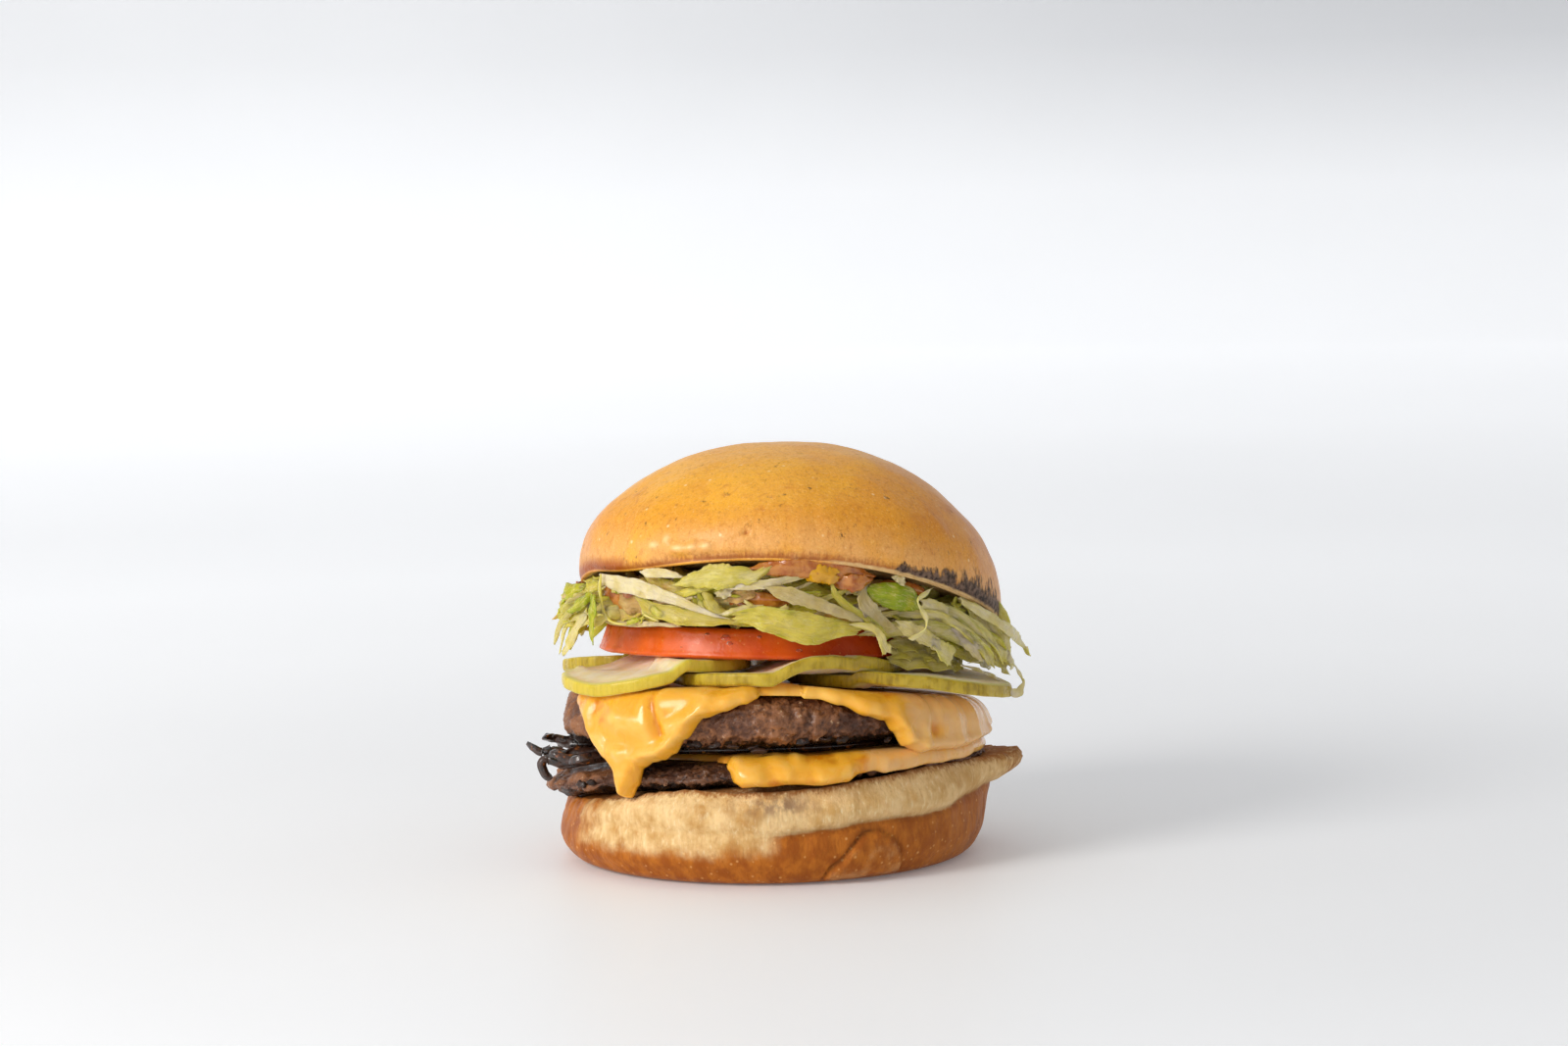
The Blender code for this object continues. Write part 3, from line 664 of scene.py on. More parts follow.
def heel_look():
    look = Look(
        "bun_base", Subsurface_Weight=0.15, Subsurface_Scale=0.0015, Specular_IOR_Level=0.08,
        Subsurface_Radius=(1.0, 0.6, 0.3), Coat_Weight=0.02, Coat_Roughness=0.3,
    )
    fibre = look.noise(0.8, 3, 0.6, stretch=(1, 1, 4))
    mottle = look.noise(6.5, 4, 0.6)
    blotch = look.noise(3.2, 3, 0.6, stretch=(1, 1, 1.8))
    pale = look.mix(look.ease(mottle, 0.35, 0.7), (236, 202, 146), (206, 162, 98))
    pale = look.mix(look.ease(blotch, 0.5, 0.78, 0, 0.55), pale, (196, 142, 78))
    pale = look.mix(look.ease(fibre, 0.5, 0.75, 0, 0.4), pale, (186, 138, 82))
    pale = look.mix(look.ease(fibre, 0.45, 0.25, 0, 0.5), pale, (248, 232, 190))
    brown = look.mix(look.ease(blotch, 0.35, 0.65), (186, 110, 38), (156, 84, 28))
    brown = look.mix(look.ease(fibre, 0.5, 0.7, 0, 0.5), brown, (150, 82, 30))
    brown = look.mix(look.ease(look.cells(2.4), 0.2, 0.08, 0, 0.5), brown, (232, 178, 110))
    share = look.plus(look.mask("brown"), look.swing(mottle, 0.9))
    base = look.mix(look.ease(share, 0.15, 0.85), pale, brown)
    # A grey-brown darker patch at the heel's front, centred 20 mm up.
    bruise = look.times(look.mask("bruise"), look.ease(blotch, 0.35, 0.6))
    base = look.mix(look.times(bruise, 0.85), base, (134, 104, 82))
    toast = look.plus(look.mask("toast"), look.swing(fibre, 1.2))
    base = look.over(
        base,
        (look.ease(toast, 0.35, 0.95, 0, 0.85), (148, 84, 36)),
        # Dark brown in the fold and along the lobe's line: painted shade.
        (look.times(look.mask("crease"), 0.75), (104, 56, 22)),
        # dim darkens the heel towards the right and the back: painted shade.
        (look.times(look.mask("dim"), 0.16), (150, 104, 62)),
    )
    look.drive(Base_Color=base)
    look.drive(Roughness=look.plus(0.62, look.times(look.ease(share, 0.3, 0.75), -0.2)))
    under = look.bump(look.noise(2.2, 3, 0.6, stretch=(1, 1, 2)), 0.22)
    look.drive(Normal=look.bump(fibre, 0.16, under))
    return look.made


def heel():
    b = all_round(BUN_COLUMNS)
    rim = heel_rim(b)
    lip = bump(b, 88, 13)
    angle = np.radians(b)
    ragged = np.stack([np.cos(angle) * HEEL_ARC, np.sin(angle) * HEEL_ARC, 0 * b], -1)
    ragged = noise(ragged, 3.0, 21, 3)
    rows = []
    for outset, share in (
        (-50, 0), (-26, 0), (-9, 0.0), (-5.2, 0.008), (-3.2, 0.05), (-1.2, 0.16), (0.1, 0.27),
        (0.5, 0.38), (0.3, 0.5), (0.2, 0.62), (0.0, 0.74), (-0.3, 0.84), (-0.8, 0.93),
        (-1.5, 0.985),
    ):
        reach = BUN_RADIUS + outset + 0.9 * bump(b, -60, 40) * smooth(0.95, 0.85, share)
        reach -= 2.6 * bump(b, -80, 35) * smooth(0.5, 1.0, share)
        flare = smooth(0.55, 1.0, share)
        reach += lip * (9.6 * flare**1.6 * (1 + 0.2 * ragged) - 1.2 * smooth(0.55, 0.45, share))
        x, y = on_bearing(b, reach)
        z = share * rim + flare * ragged * (0.35 + 0.9 * lip)
        rows.append(np.stack([x, y, np.maximum(z, 0)], -1))
    x, y = on_bearing(b, BUN_RADIUS - 3.0)
    rows.append(np.stack([x, y, rim * 0.985 - 0.2 + 0.5 * ragged * (0.35 + 0.9 * lip)], -1))
    for reach, drop in ((-5.5, 0.25), (-14, 0.0), (-34, 0.0), (-50, 0.0)):
        x, y = on_bearing(b, BUN_RADIUS + reach)
        rows.append(np.stack([x, y, heel_top(x, y) - drop], -1))
    steps = [5, 3, 1.0, 0.7] + [0.6] * 10 + [0.5, 0.8, 2, 5]
    p, marks = resampled(rows, steps)
    x, y, z = p[..., 0], p[..., 1], p[..., 2]
    bearing = bearing_of(x, y)
    row = np.arange(len(p))[:, None] * np.ones_like(z)
    top = marks[13]
    side = smooth(top + 4, top - 2, row) * smooth(0.2, 3.0, z)
    fold = between(
        ((-180, 11), (-120, 9.5), (-90, 10.5), (-63, 12.1), (-41, 13.6), (-23, 13.2), (-8, 13.4),
         (2, 12.9), (14, 13.8), (26, 14.8), (41, 14.8), (70, 17.0), (90, 17.4), (130, 13)), bearing)
    fold = fold + 0.5 * noise(p, 7, 22)
    away = z - fold
    deep = 0.25 + 0.75 * window(bearing, 8, 100, 14) + 0.3 * window(bearing, -50, 8, 10)
    push = 0.45 * noise(p, 14, 23) + 0.22 * noise(p, 5, 24, 2, (1, 1, 1.6))
    push += 1.3 * hump(away - 4.2, 3.4) - 0.85 * deep * hump(away, 0.9)
    arch = np.interp(
        bearing, (11, 14, 18, 20, 23, 28, 32, 35, 37),
        (-3, 3.2, 6.5, 9.1, 11.7, 12.6, 10.3, 6.0, -3))
    from_arch = z - arch - 0.3 * noise(p, 4, 25)
    inside = window(bearing, 12, 36.5, 1.5)
    push += 0.85 * smooth(0.6, -1.6, from_arch) * inside
    left = 0.5 * window(bearing, 9, 25, 3) + 0.5 * window(bearing, 9, 37, 2)
    line = hump(from_arch - 0.5, 0.7) * inside
    push -= 0.8 * line * (0.35 + 0.65 * left)
    shoulder = smooth(-155, -95, bearing) * smooth(-42, -60, bearing)
    push += 0.35 * noise(p, 3.2, 26, 2, (1, 1, 0.6)) * shoulder * smooth(9, 14, z)
    push += 0.16 * noise(p, 1.6, 27, 2, (1, 1, 3.0)) * smooth(-1, 3, away)
    p = p + normals(p) * (push * side)[..., None]
    p[..., 2] = np.maximum(p[..., 2], 0.0)
    right = window(bearing, 5, 180, 12)
    brown = right * smooth(0.8, -0.8, away) + (1 - right) * (0.95 * smooth(11.5, 2.5, z) + 0.2)
    brown = np.maximum(brown, shoulder * (0.5 + 0.5 * smooth(-60, -70, bearing)))
    # Paler inside the lobe, below its arch: painted highlight.
    brown = brown * (1 - 0.22 * smooth(0.4, -1.4, from_arch) * inside)
    # Painted shade: the heel darker towards the right and the back.
    dim = between(((-180, 0.8), (-150, 0.3), (-110, 0), (8, 0), (60, 0.8), (150, 0.9)), bearing)
    toasted_lip = 0.75 * bump(bearing, 88, 13) * smooth(17, 21, z)
    # Painted shade in the fold and along the lobe's line.
    creased = 0.9 * line * left + 0.45 * deep * hump(away, 0.8) * right
    masks = {
        "brown": np.clip(brown, 0, 1),
        # Grey-brown darker patch at the front, just under the heel's rim.
        "bruise": np.exp(-(((bearing - 1) / 10) ** 2) - ((z - 20.0) / 2.8) ** 2),
        "dim": dim,
        "toast": np.maximum(smooth(top - 5, top + 1, row) * 0.9, toasted_lip),
        "crease": np.clip(creased, 0, 1),
    }
    closed_piece("heel", p, masks, heel_look(), "bread_base", "bun_bottom")


# ---- patties -----------------------------------------------------------------------------


def lower_radius(b):
    return PATTY_RADIUS + 5.8 * bump(b, -82, 19) + 1.4 * bump(b, -58, 12) + 1.2 * bump(b, 80, 30)


def upper_radius(b):
    return PATTY_RADIUS - 1.9 * bump(b, 80, 50) + 0.6 * bump(b, -90, 30) + 1.6 * bump(b, -84, 13)


def meat_look():
    look = Look(
        "seared_beef", Specular_IOR_Level=0.35, Coat_Weight=0.2, Coat_Roughness=0.16,
    )
    crag, char = look.mask("crag"), look.mask("char")
    grit = look.noise(0.9, 4, 0.65)
    broad = look.noise(4.5, 3)
    # Darker in the hollows and lighter on the lumps, as crag follows the surface: painted shade and
    # light over the meat's own browns.
    depth = look.plus(crag, look.swing(grit, 0.9))
    base = look.mix(look.ease(depth, -0.05, 0.4), (24, 10, 5), (96, 56, 32))
    base = look.over(
        base,
        (look.ease(depth, 0.35, 0.85), (152, 98, 58)),
        (look.ease(broad, 0.45, 0.7, 0, 0.45), (92, 58, 42)),
        # dim darkens the meat on the right and back, and across the lower patty's front: painted
        # shade.
        (look.times(look.mask("dim"), 0.55), (52, 28, 18)),
    )
    # Pale specks on the raised parts: partly fat, partly painted glints of light.
    fat = look.times(look.ease(look.noise(1.5, 3, 0.6), 0.63, 0.72), look.ease(depth, 0.4, 0.7))
    base = look.mix(look.times(fat, 0.75), base, (214, 180, 142))
    burnt = look.plus(char, look.swing(look.noise(1.4, 3), 1.4))
    burnt = look.ease(burnt, 0.4, 0.75)
    base = look.mix(look.times(burnt, 0.93), base, (14, 9, 8))
    look.drive(Base_Color=base)
    wet = look.ease(look.noise(2.4, 2), 0.4, 0.65)
    look.drive(Roughness=look.ease(look.plus(wet, look.times(burnt, 0.4)), 0.0, 1.3, 0.62, 0.16))
    look.drive(Normal=look.bump(grit, 0.28, look.bump(look.noise(0.45, 3, 0.6), 0.1)))
    return look.made


def patty(name, node, radius, base, top, look, char_at, seed, dim_front=0.0):
    b = all_round(PATTY_COLUMNS)
    reach = radius(b) - 0.5 - 0.4 * noise(np.stack([b, 0 * b, 0 * b], -1), 9, seed)
    rows = []
    for outset, share in (
        (-50, 0), (-20, 0), (-5.0, 0.0), (-1.5, 0.1), (-0.2, 0.26), (0.2, 0.42), (-0.2, 0.6),
        (-1.2, 0.76), (-3.0, 0.92), (-6.0, 1.0), (-20, 1.0), (-50, 1.0),
    ):
        x, y = on_bearing(b, reach + outset)
        z = (base(x, y) + GAP) * (1 - share) + top(x, y) * share
        rows.append(np.stack([x, y, z], -1))
    p, _ = resampled(rows, [8, 4, 0.6, 0.42, 0.42, 0.42, 0.42, 0.42, 0.5, 4, 8])
    x, y, z = p[..., 0], p[..., 1], p[..., 2]
    bearing = bearing_of(x, y)
    r = np.hypot(x, y)
    side = smooth(reach - 7, reach - 3.4, r)
    warped = p + 1.5 * np.stack([noise(p, 2.6, seed + k, 3) for k in range(3)], -1)
    far, second, own = cells(warped * [1, 1, 0.8], 5.2, seed)
    small, small_next, _ = cells(warped, 1.9, seed + 5)
    lumps = smooth(0.0, 0.55, second - far)
    wild = window(bearing, -108, -52, 9)
    calm = 1 - 0.5 * wild
    push = 0.62 * lumps * (0.3 + 1.1 * own) * calm - 0.8
    push += 0.50 * calm * smooth(0, 0.45, small_next - small) + 0.55 * noise(p, 8, seed + 11)
    push += 0.48 * calm * noise(p, 1.5, seed + 9, 3)
    big, big_next, big_own = cells(0.6 * p + 0.4 * warped, 8.5, seed + 7)
    push += wild * (1.7 * smooth(0, 0.75, big_next - big) * (0.5 + 0.8 * big_own) - 0.7)
    # crag follows the surface's height: it paints shade into the hollows and light onto the lumps.
    crag = np.clip(0.78 + 0.42 * push + 0.25 * wild, 0, 1)
    p = p + normals(p) * (push * side)[..., None]
    share = (z - base(x, y)) / np.maximum(top(x, y) - base(x, y), 1)
    # Painted shade: darker on the right and back of each patty, and over the front of the lower
    # one.
    dim = smooth(-5, 40, bearing) * smooth(200, 60, bearing)
    dim = np.clip(dim + dim_front * window(bearing, -50, 60, 15), 0, 1)
    masks = {"crag": crag, "char": np.clip(char_at(bearing, share), 0, 1), "dim": dim}
    closed_piece(name, p, masks, look, "beef", node)


def patties():
    look = meat_look()
    patty(
        "beef_lower", "patty_lower", lower_radius, heel_top, lower_patty_top, look,
        lambda b, h: 0.35 * window(b, -50, 12, 12) + 0.7 * smooth(0.35, 0.05, h) + 0.05, 31, 1.0,
    )
    patty(
        "beef_upper", "patty_upper", upper_radius, upper_patty_base, upper_patty_top, look,
        lambda b, h: 0.8 * smooth(0.24, 0.02, h) + 0.25 * window(b, 12, 40, 8)
        + 0.35 * smooth(0.5, 0.2, h) * window(b, -110, -62, 10), 41,
    )
    char_crumbs(look)


# ---- cheese ------------------------------------------------------------------------------


def cheese_look():
    look = Look(
        "melted_cheese", Subsurface_Weight=0.2, Subsurface_Scale=0.003,
        Subsurface_Radius=(1.0, 0.5, 0.1), Specular_IOR_Level=0.4, Coat_Weight=0.25,
        Coat_Roughness=0.12,
    )
    crest, pale = look.mask("crest"), look.mask("pale")
    swirl = look.noise(5.5, 3, 0.5, 1.2)
    # Lighter on the tops of the folds and deeper orange in their valleys: painted light and shade.
    level = look.plus(crest, look.swing(swirl, 0.9))
    base = look.mix(look.ease(level, 0.15, 0.5), (214, 130, 14), (240, 172, 46))
    base = look.mix(look.ease(level, 0.5, 0.95), base, (245, 188, 84))
    film = look.plus(pale, look.swing(look.noise(4, 3, 0.5, 0.8, (1, 1, 2.5)), 0.9))
    base = look.mix(look.ease(film, 0.35, 0.85, 0, 0.85), base, (232, 182, 116))
    browned = look.ease(look.noise(2.2, 3), 0.66, 0.76, 0, 0.25)
    base = look.mix(browned, base, (200, 122, 44))
    sheen = look.ease(look.noise(7, 2), 0.35, 0.7, 0.2, 0.4)
    look.drive(Roughness=look.plus(sheen, look.times(look.mask("flat"), 0.35)))
    # The part lying flat on the patty, under the pickles, is made deeper orange as painted shade,
    # and rougher.
    base = look.mix(look.times(look.mask("flat"), 0.6), base, (190, 116, 24))
    look.drive(Base_Color=base)
    under = look.bump(look.noise(4.5, 2, 0.5, 0.6), 0.12)
    look.drive(Normal=look.bump(look.noise(0.9, 2), 0.03, under))
    return look.made


def drape(reach, along, off):
    """Radius and height, from a patty's rim, of a sheet lying on it and hanging down its side."""
    corner = 3.0
    turn = np.clip(along / corner, 0, math.pi / 2)
    r = reach - corner + np.minimum(along, 0) + (corner + off) * np.sin(turn)
    drop = np.maximum(along - corner * math.pi / 2, 0)
    return r, (corner + off) * np.cos(turn) - corner - drop


def cheese(name, node, radius, surface, hem, apron, relief, pale, look, seed, puff=0.0):
    """Slice that lies on a patty and hangs down its side to the hem, as thick there as apron."""
    rows_out, inner_reach = 62, 16
    b = all_round(CHEESE_COLUMNS)
    reach = radius(b)
    rim_top = surface(*on_bearing(b, reach))
    ring = np.stack([*on_bearing(b, HEM_ARC), 0 * b], -1)
    low = hem(b) + 0.35 * noise(ring, 6.5, seed) + 0.06 * noise(ring, 2.4, seed + 1)
    end = np.where(low > rim_top, rim_top - low, np.maximum(0.4, rim_top - low + 1.7))
    t = np.linspace(0, 1, rows_out)[:, None]
    along = -inner_reach + (end + inner_reach) * (1 - (1 - t) ** 1.7)
    # Distance of each point from the hem's line, sampled at parts of a column to both sides.
    edge = np.full(along.shape, 99.0)
    arc = math.radians(360.0 / CHEESE_COLUMNS) * HEM_ARC
    parts, reach_out = 4, 18
    for k in range(-parts * reach_out, parts * reach_out + 1):
        shift, part = divmod(k, parts)
        e0, e1 = np.roll(end, -shift), np.roll(end, -shift - 1)
        line = e0 + (e1 - e0) * part / parts
        edge = np.minimum(edge, np.hypot(k / parts * arc, along - line))
    edge[-1] = 0.0
    bearing = np.broadcast_to(b, along.shape)
    hang = smooth(0, 6, along)
    r0, z0 = drape(reach, along, GAP)
    x, y = on_bearing(b, np.minimum(r0, reach))
    lift = surface(x, y)
    height = lift + z0
    s = np.radians((bearing + 100) % 360 - 100) * CHEESE_ARC
    spot = np.stack([*on_bearing(b, r0), height], -1)
    raised = relief(s, height)
    wave = 0.6 * noise(spot, 8, seed + 2, 1, (1, 1, 1.6)) + 0.12 * noise(spot, 3.5, seed + 3)
    thick = SHEET + (apron(b) - SHEET) * hang + (raised + wave) * (0.35 + 0.65 * hang)
    thick = thick + 0.8 * hump(edge - 2.2, 1.7) * hang
    thick = thick + puff * bump(bearing, 1, 9) * hump(along + 2.5, 4.0)
    thick = np.maximum(thick, 0.9)
    width = np.minimum(2.6, 0.7 * thick + 0.6)
    rounding = np.sqrt(np.clip(1 - (1 - np.clip(edge / width, 0, 1)) ** 2, 0, 1))
    r1, z1 = drape(reach, along, GAP + thick * rounding)
    outer = np.stack([*on_bearing(b, r1), lift + z1], -1)
    inner = np.stack([*on_bearing(b, r0), height], -1)[::6]
    inner = inner if np.allclose(inner[-1], spot[-1]) else np.concatenate([inner, spot[-1:]])
    p = np.concatenate([inner[:-1], outer[::-1]])
    # crest follows the folds: painted light on their tops, painted shade in the valleys.
    crest = 0.42 + 0.3 * (raised + wave)
    blank = np.full((len(inner) - 1, CHEESE_COLUMNS), 0.4)
    masks = {
        "crest": np.concatenate([blank, np.clip(crest, 0, 1.3)[::-1]]),
        "pale": np.concatenate([blank * 0, pale(bearing, height)[::-1]]),
        # flat marks the sheet's top over the patty, darkened as painted shade.
        "flat": np.concatenate([blank * 0, smooth(0.5, -1.5, along + 0 * b)[::-1]]),
    }
    closed_piece(name, p, masks, look, "cheese", node)


def lower_hem(b):
    return between(
        ((-180, 25.4), (-130, 23.6), (-105, 39.0), (-36, 39.0), (-19.5, 37.4), (-17.5, 33.6),
         (-14, 31.0), (-12, 28.4), (-10, 25.6), (-8, 24.4), (-2, 24.6), (5, 25.2), (13, 24.6),
         (19, 24.8), (23, 26.6), (27, 27.2), (31, 26.2), (40, 26.8), (62, 26.4), (90, 26.0),
         (130, 24.4)), b)


def upper_hem(b):
    return between(
        ((-180, 33.4), (-150, 30.5), (-115, 36.6), (-98, 40.6), (-90, 45.5), (-78, 47.5),
         (-68, 46.0), (-63, 40.8), (-57.4, 37.8), (-55.0, 34.6), (-51.6, 31.2), (-48.4, 29.0),
         (-46.2, 27.2), (-45.2, 23.0), (-43.4, 20.2), (-41.2, 20.2), (-38.4, 23.6), (-36.6, 28.2),
         (-33, 29.8), (-30, 30.6), (-26.6, 32.4), (-23.6, 36.0), (-18, 41.2), (-12.6, 42.8),
         (-7.4, 44.4), (-3, 46.2), (4, 46.3), (11.6, 45.6), (18, 43.3), (25.4, 40.7), (30.8, 39.0),
         (33.4, 36.0), (37, 32.2), (42, 29.8), (60, 28.8), (92, 28.6), (118, 33.6), (150, 30.8)), b)


def lower_apron(b):
    return 2.2 + 1.6 * bump(b, -6, 10) + 1.2 * bump(b, 12, 9) + 0.8 * bump(b, 75, 25)


def upper_apron(b):
    return 2.1 + 1.1 * bump(b, -45, 11) + 2.0 * bump(b, 66, 34)


def folds(s, z, chains):
    """Rounded folds on a sheet, each along a chain of (bearing, height) spots."""
    total = 0.0
    for spots, width, tall in chains:
        spots = [(math.radians(b) * CHEESE_ARC, h) for b, h in spots]
        away = np.min([to_segment(s, z, a, c) for a, c in zip(spots, spots[1:])], axis=0)
        total = total + 0.9 * tall * hump(away, 1.15 * width)
    return total


def upper_relief(s, z):
    return folds(s, z, (
        (((-31, 46.4), (-23, 46.6), (-17, 45.0), (-20, 42.2), (-27, 39.2)), 1.5, 1.7),
        (((-42, 39.6), (-35, 38.4)), 3.2, 1.7),
        (((-50, 35), (-46, 32.2), (-37, 31.8), (-30, 33.0), (-24, 36.6)), 1.6, 1.5),
        (((-56, 44), (-53.5, 36)), 2.0, 1.3), (((-48, 45), (-44, 42.6)), 2.2, 1.0),
        (((-33, 43.8), (-30, 37.0)), 1.1, -1.3),
        (((-52, 41.6), (-45, 42.6), (-38, 42.6)), 1.1, -0.9),
        (((-41.5, 31), (-41.6, 22)), 1.7, 1.3), (((-14, 43.4), (-8, 45.4)), 1.3, 1.0),
        (((1, 46.6), (9, 46.8), (16, 45.2), (27, 41.0)), 1.5, 1.3),
        (((34, 40.5), (37, 34.0)), 1.8, 1.1), (((42, 36.4), (42, 32.4)), 1.7, 1.6),
        (((47, 43), (46, 35)), 1.2, -0.9), (((55, 43), (56, 32)), 1.6, 1.0),
        (((66, 43), (66, 32)), 1.5, 0.8), (((61, 44), (61, 33)), 0.9, -0.6),
        (((78, 44), (79, 32)), 2.0, 1.0), (((92, 44), (90, 33)), 1.8, 0.8),
        (((120, 44), (118, 35)), 2.4, 1.0), (((150, 43), (152, 32)), 2.6, 1.2),
        (((178, 42), (176, 35)), 2.0, 0.9), (((206, 42), (210, 33)), 2.6, 1.3),
        (((232, 42), (228, 36)), 2.0, 1.0),
    ))


def lower_relief(s, z):
    return folds(s, z, (
        (((-13, 31.6), (-8.5, 28.6), (-4, 27.0)), 1.7, 1.4), (((-1, 30.6), (3.5, 27.6)), 1.5, 1.3),
        (((6, 33.6), (6.2, 30.2)), 1.4, 1.7), (((10, 33.4), (17, 33.2), (23, 31.8)), 1.5, 1.3),
        (((12, 26.8), (19, 27.4)), 1.5, 1.2), (((-5, 32), (0.5, 33)), 1.3, -0.8),
        (((10, 30.6), (16, 29.8)), 1.3, -1.0), (((24, 31.8), (34, 30.8), (46, 30.2)), 1.5, 1.0),
        (((52, 30), (84, 28.6)), 1.6, 0.7), (((140, 29), (142, 25)), 2.2, 1.0),
        (((186, 29), (188, 26)), 2.4, 1.1), (((222, 29), (220, 25)), 2.2, 0.9),
    ))


def upper_pale(b, z):
    lobe = np.exp(-(((b - 47) / 5) ** 2) - ((z - 35) / 3) ** 2)
    return window(b, 47, 100, 20) * (0.95 - 0.5 * lobe)


def cheeses():
    look = cheese_look()
    cheese(
        "cheese_lower_slice", "cheese_lower", lower_radius, lower_patty_top, lower_hem,
        lower_apron, lower_relief, lambda b, z: 0.75 * window(b, 30, 100, 12), look, 51,
    )
    cheese(
        "cheese_upper_slice", "cheese_upper", upper_radius, upper_patty_top, upper_hem,
        upper_apron, upper_relief, upper_pale, look, 61, 1.3,
    )


# ---- pickles and tomato --------------------------------------------------------------------


def pickle_look():
    look = Look(
        "pickle_slice", Subsurface_Weight=0.6, Subsurface_Scale=0.004,
        Subsurface_Radius=(1.0, 0.9, 0.25), Specular_IOR_Level=0.3, Coat_Weight=0.05,
        Coat_Roughness=0.2,
    )
    skin, out, bright = look.mask("skin"), look.mask("out"), look.mask("bright")
    wash = look.noise(5, 3)
    face = look.mix(look.ease(wash, 0.35, 0.65), (255, 240, 204), (244, 222, 166))
    face = look.mix(look.ease(out, 0.88, 0.98, 0, 0.8), face, (206, 200, 100))
    seeds = look.ease(look.cells(3.4), 0.24, 0.12)
    ring = look.times(look.ease(out, 0.2, 0.3), look.ease(out, 0.66, 0.55), 0.7)
    face = look.mix(look.times(seeds, ring), face, (248, 240, 206))
    streak = look.noise(0.9, 3, 0.6, stretch=(1, 1, 7))
    # Each slice's rind is mixed from a shaded and a lit colour by bright: painted light.
    dark = look.mix(look.ease(streak, 0.35, 0.7), (178, 150, 30), (140, 112, 14))
    dark = look.mix(look.ease(look.noise(4, 2), 0.45, 0.65, 0, 0.5), dark, (204, 180, 66))
    fresh = look.mix(look.ease(streak, 0.4, 0.7, 0, 0.5), (210, 186, 62), (184, 162, 34))
    rind = look.mix(bright, dark, fresh)
    look.drive(Base_Color=look.mix(skin, face, rind))
    matt = look.ease(look.noise(2, 2), 0.3, 0.7, 0.56, 0.76)
    look.drive(Roughness=look.plus(matt, look.times(skin, -0.34)))
    under = look.bump(look.noise(2.6, 2), 0.07)
    look.drive(Normal=look.bump(look.times(streak, skin), 0.12, under))
    return look.made


def slab(centre, radius, low, high, edge, columns, steps, wobble=0.0):
    """Rings of a round slice between two surfaces. Edge stations are (outset, share)."""
    b = all_round(columns)
    rows = []
    inner = (0.08, 0.4, 0.7, 0.9)
    stations = [(k, 0.0, 0.0) for k in inner] + [(1.0, *e) for e in edge]
    stations += [(k, 0.0, 1.0) for k in reversed(inner)]
    for share, outset, height in stations:
        x, y = on_bearing(b, radius(b) * share + outset, centre)
        rows.append(np.stack([x, y, low(x, y) * (1 - height) + high(x, y) * height], -1))
    spans = [4, 3, 1.6, 1.0] + [steps] * (len(edge) - 1) + [1.0, 1.6, 3, 4]
    p, _ = resampled(rows, spans)
    if wobble:
        p = p + normals(p) * (wobble * noise(p, 8, 71, 2))[..., None]
    return p


def pickle(name, node, centre, radius, middle, look, bright):
    wave = 0.9 * centre[0]

    def rim(b):
        lobes = 0.5 * np.sin(np.radians(3 * b) + wave)
        return radius - 0.1 + lobes + 0.12 * np.sin(np.radians(23 * b))

    edge = ((-0.9, 0.0), (-0.15, 0.1), (0.0, 0.3), (0.0, 0.7), (-0.12, 0.9), (-0.8, 1.0))
    p = slab(
        centre, rim,
        lambda x, y: middle(x, y) - pickle_under(x, y),
        lambda x, y: middle(x, y) + PICKLE_HALF, edge, PICKLE_COLUMNS, 0.35, 0.1,
    )
    x, y = p[..., 0] - centre[0], p[..., 1] - centre[1]
    out = np.hypot(x, y) / rim(bearing_of(x, y))
    masks = {"out": out, "skin": smooth(0.975, 0.99, out), "bright": np.full_like(out, bright)}
    closed_piece(name, p, masks, look, "pickle", node)


def pickle_under(x, y):
    return PICKLE_HALF + 0.15 * smooth(43, 50, np.hypot(x, y))


def disc_surface(rest, shape, room=0.0):
    """Middle of a slice: its own shape, kept above what it rests on and below the tomato."""

    def middle(x, y):
        height = np.maximum(shape(x, y), rest(x, y) + PICKLE_GAP + pickle_under(x, y))
        under = tomato_base(x, y) - PICKLE_GAP - PICKLE_HALF - room
        inside = smooth(TOMATO_RADIUS + 3.0, TOMATO_RADIUS + 0.5, np.hypot(x, y))
        return height + (np.minimum(height, under) - height) * inside

    return middle


def above(middle, centre, radius, floor):
    """Rest surface of a slice that lies partly on another slice."""

    def rest(x, y):
        lift = 1 - smooth(radius + 1.5, radius + 7.0, np.hypot(x - centre[0], y - centre[1]))
        top = middle(x, y) + PICKLE_HALF
        return floor(x, y) + np.maximum(0.0, top - floor(x, y)) * lift

    return rest


def rim_rest(x, y):
    """The cheese that the slices lie on, and the way down over its rim."""
    out = np.hypot(x, y)
    down = 0.5 * np.maximum(0.0, out - 50.5) + 0.7 * np.maximum(0.0, out - 54)
    return cheese_top(x, y) + 0.15 - down


def left_front_shape(x, y):
    back = 0.09 * smooth(-44, -20, x) * (y + 44)
    return 45.9 + 0.19 * np.sqrt((x + 44) ** 2 + 16) + 0.03 * (x + 44) + back


def middle_shape(x, y):
    back = 0.21 * (1 - smooth(-8, 5, x)) * np.minimum(y + 49, 9.0) - 0.09 * (y + 49)
    rise = 6.8 * smooth(-9, 11, x) - 0.17 * np.maximum(0.0, x - 15)
    return 47.2 + rise + 0.007 * np.minimum(0.0, x + 12) ** 2 + back


def right_shape(x, y):
    far = 0.125 * (y + 42) * smooth(20, 42, x)
    return 44.6 - 0.115 * x - 0.175 * y + far - 0.1 * np.maximum(0.0, x - 38)


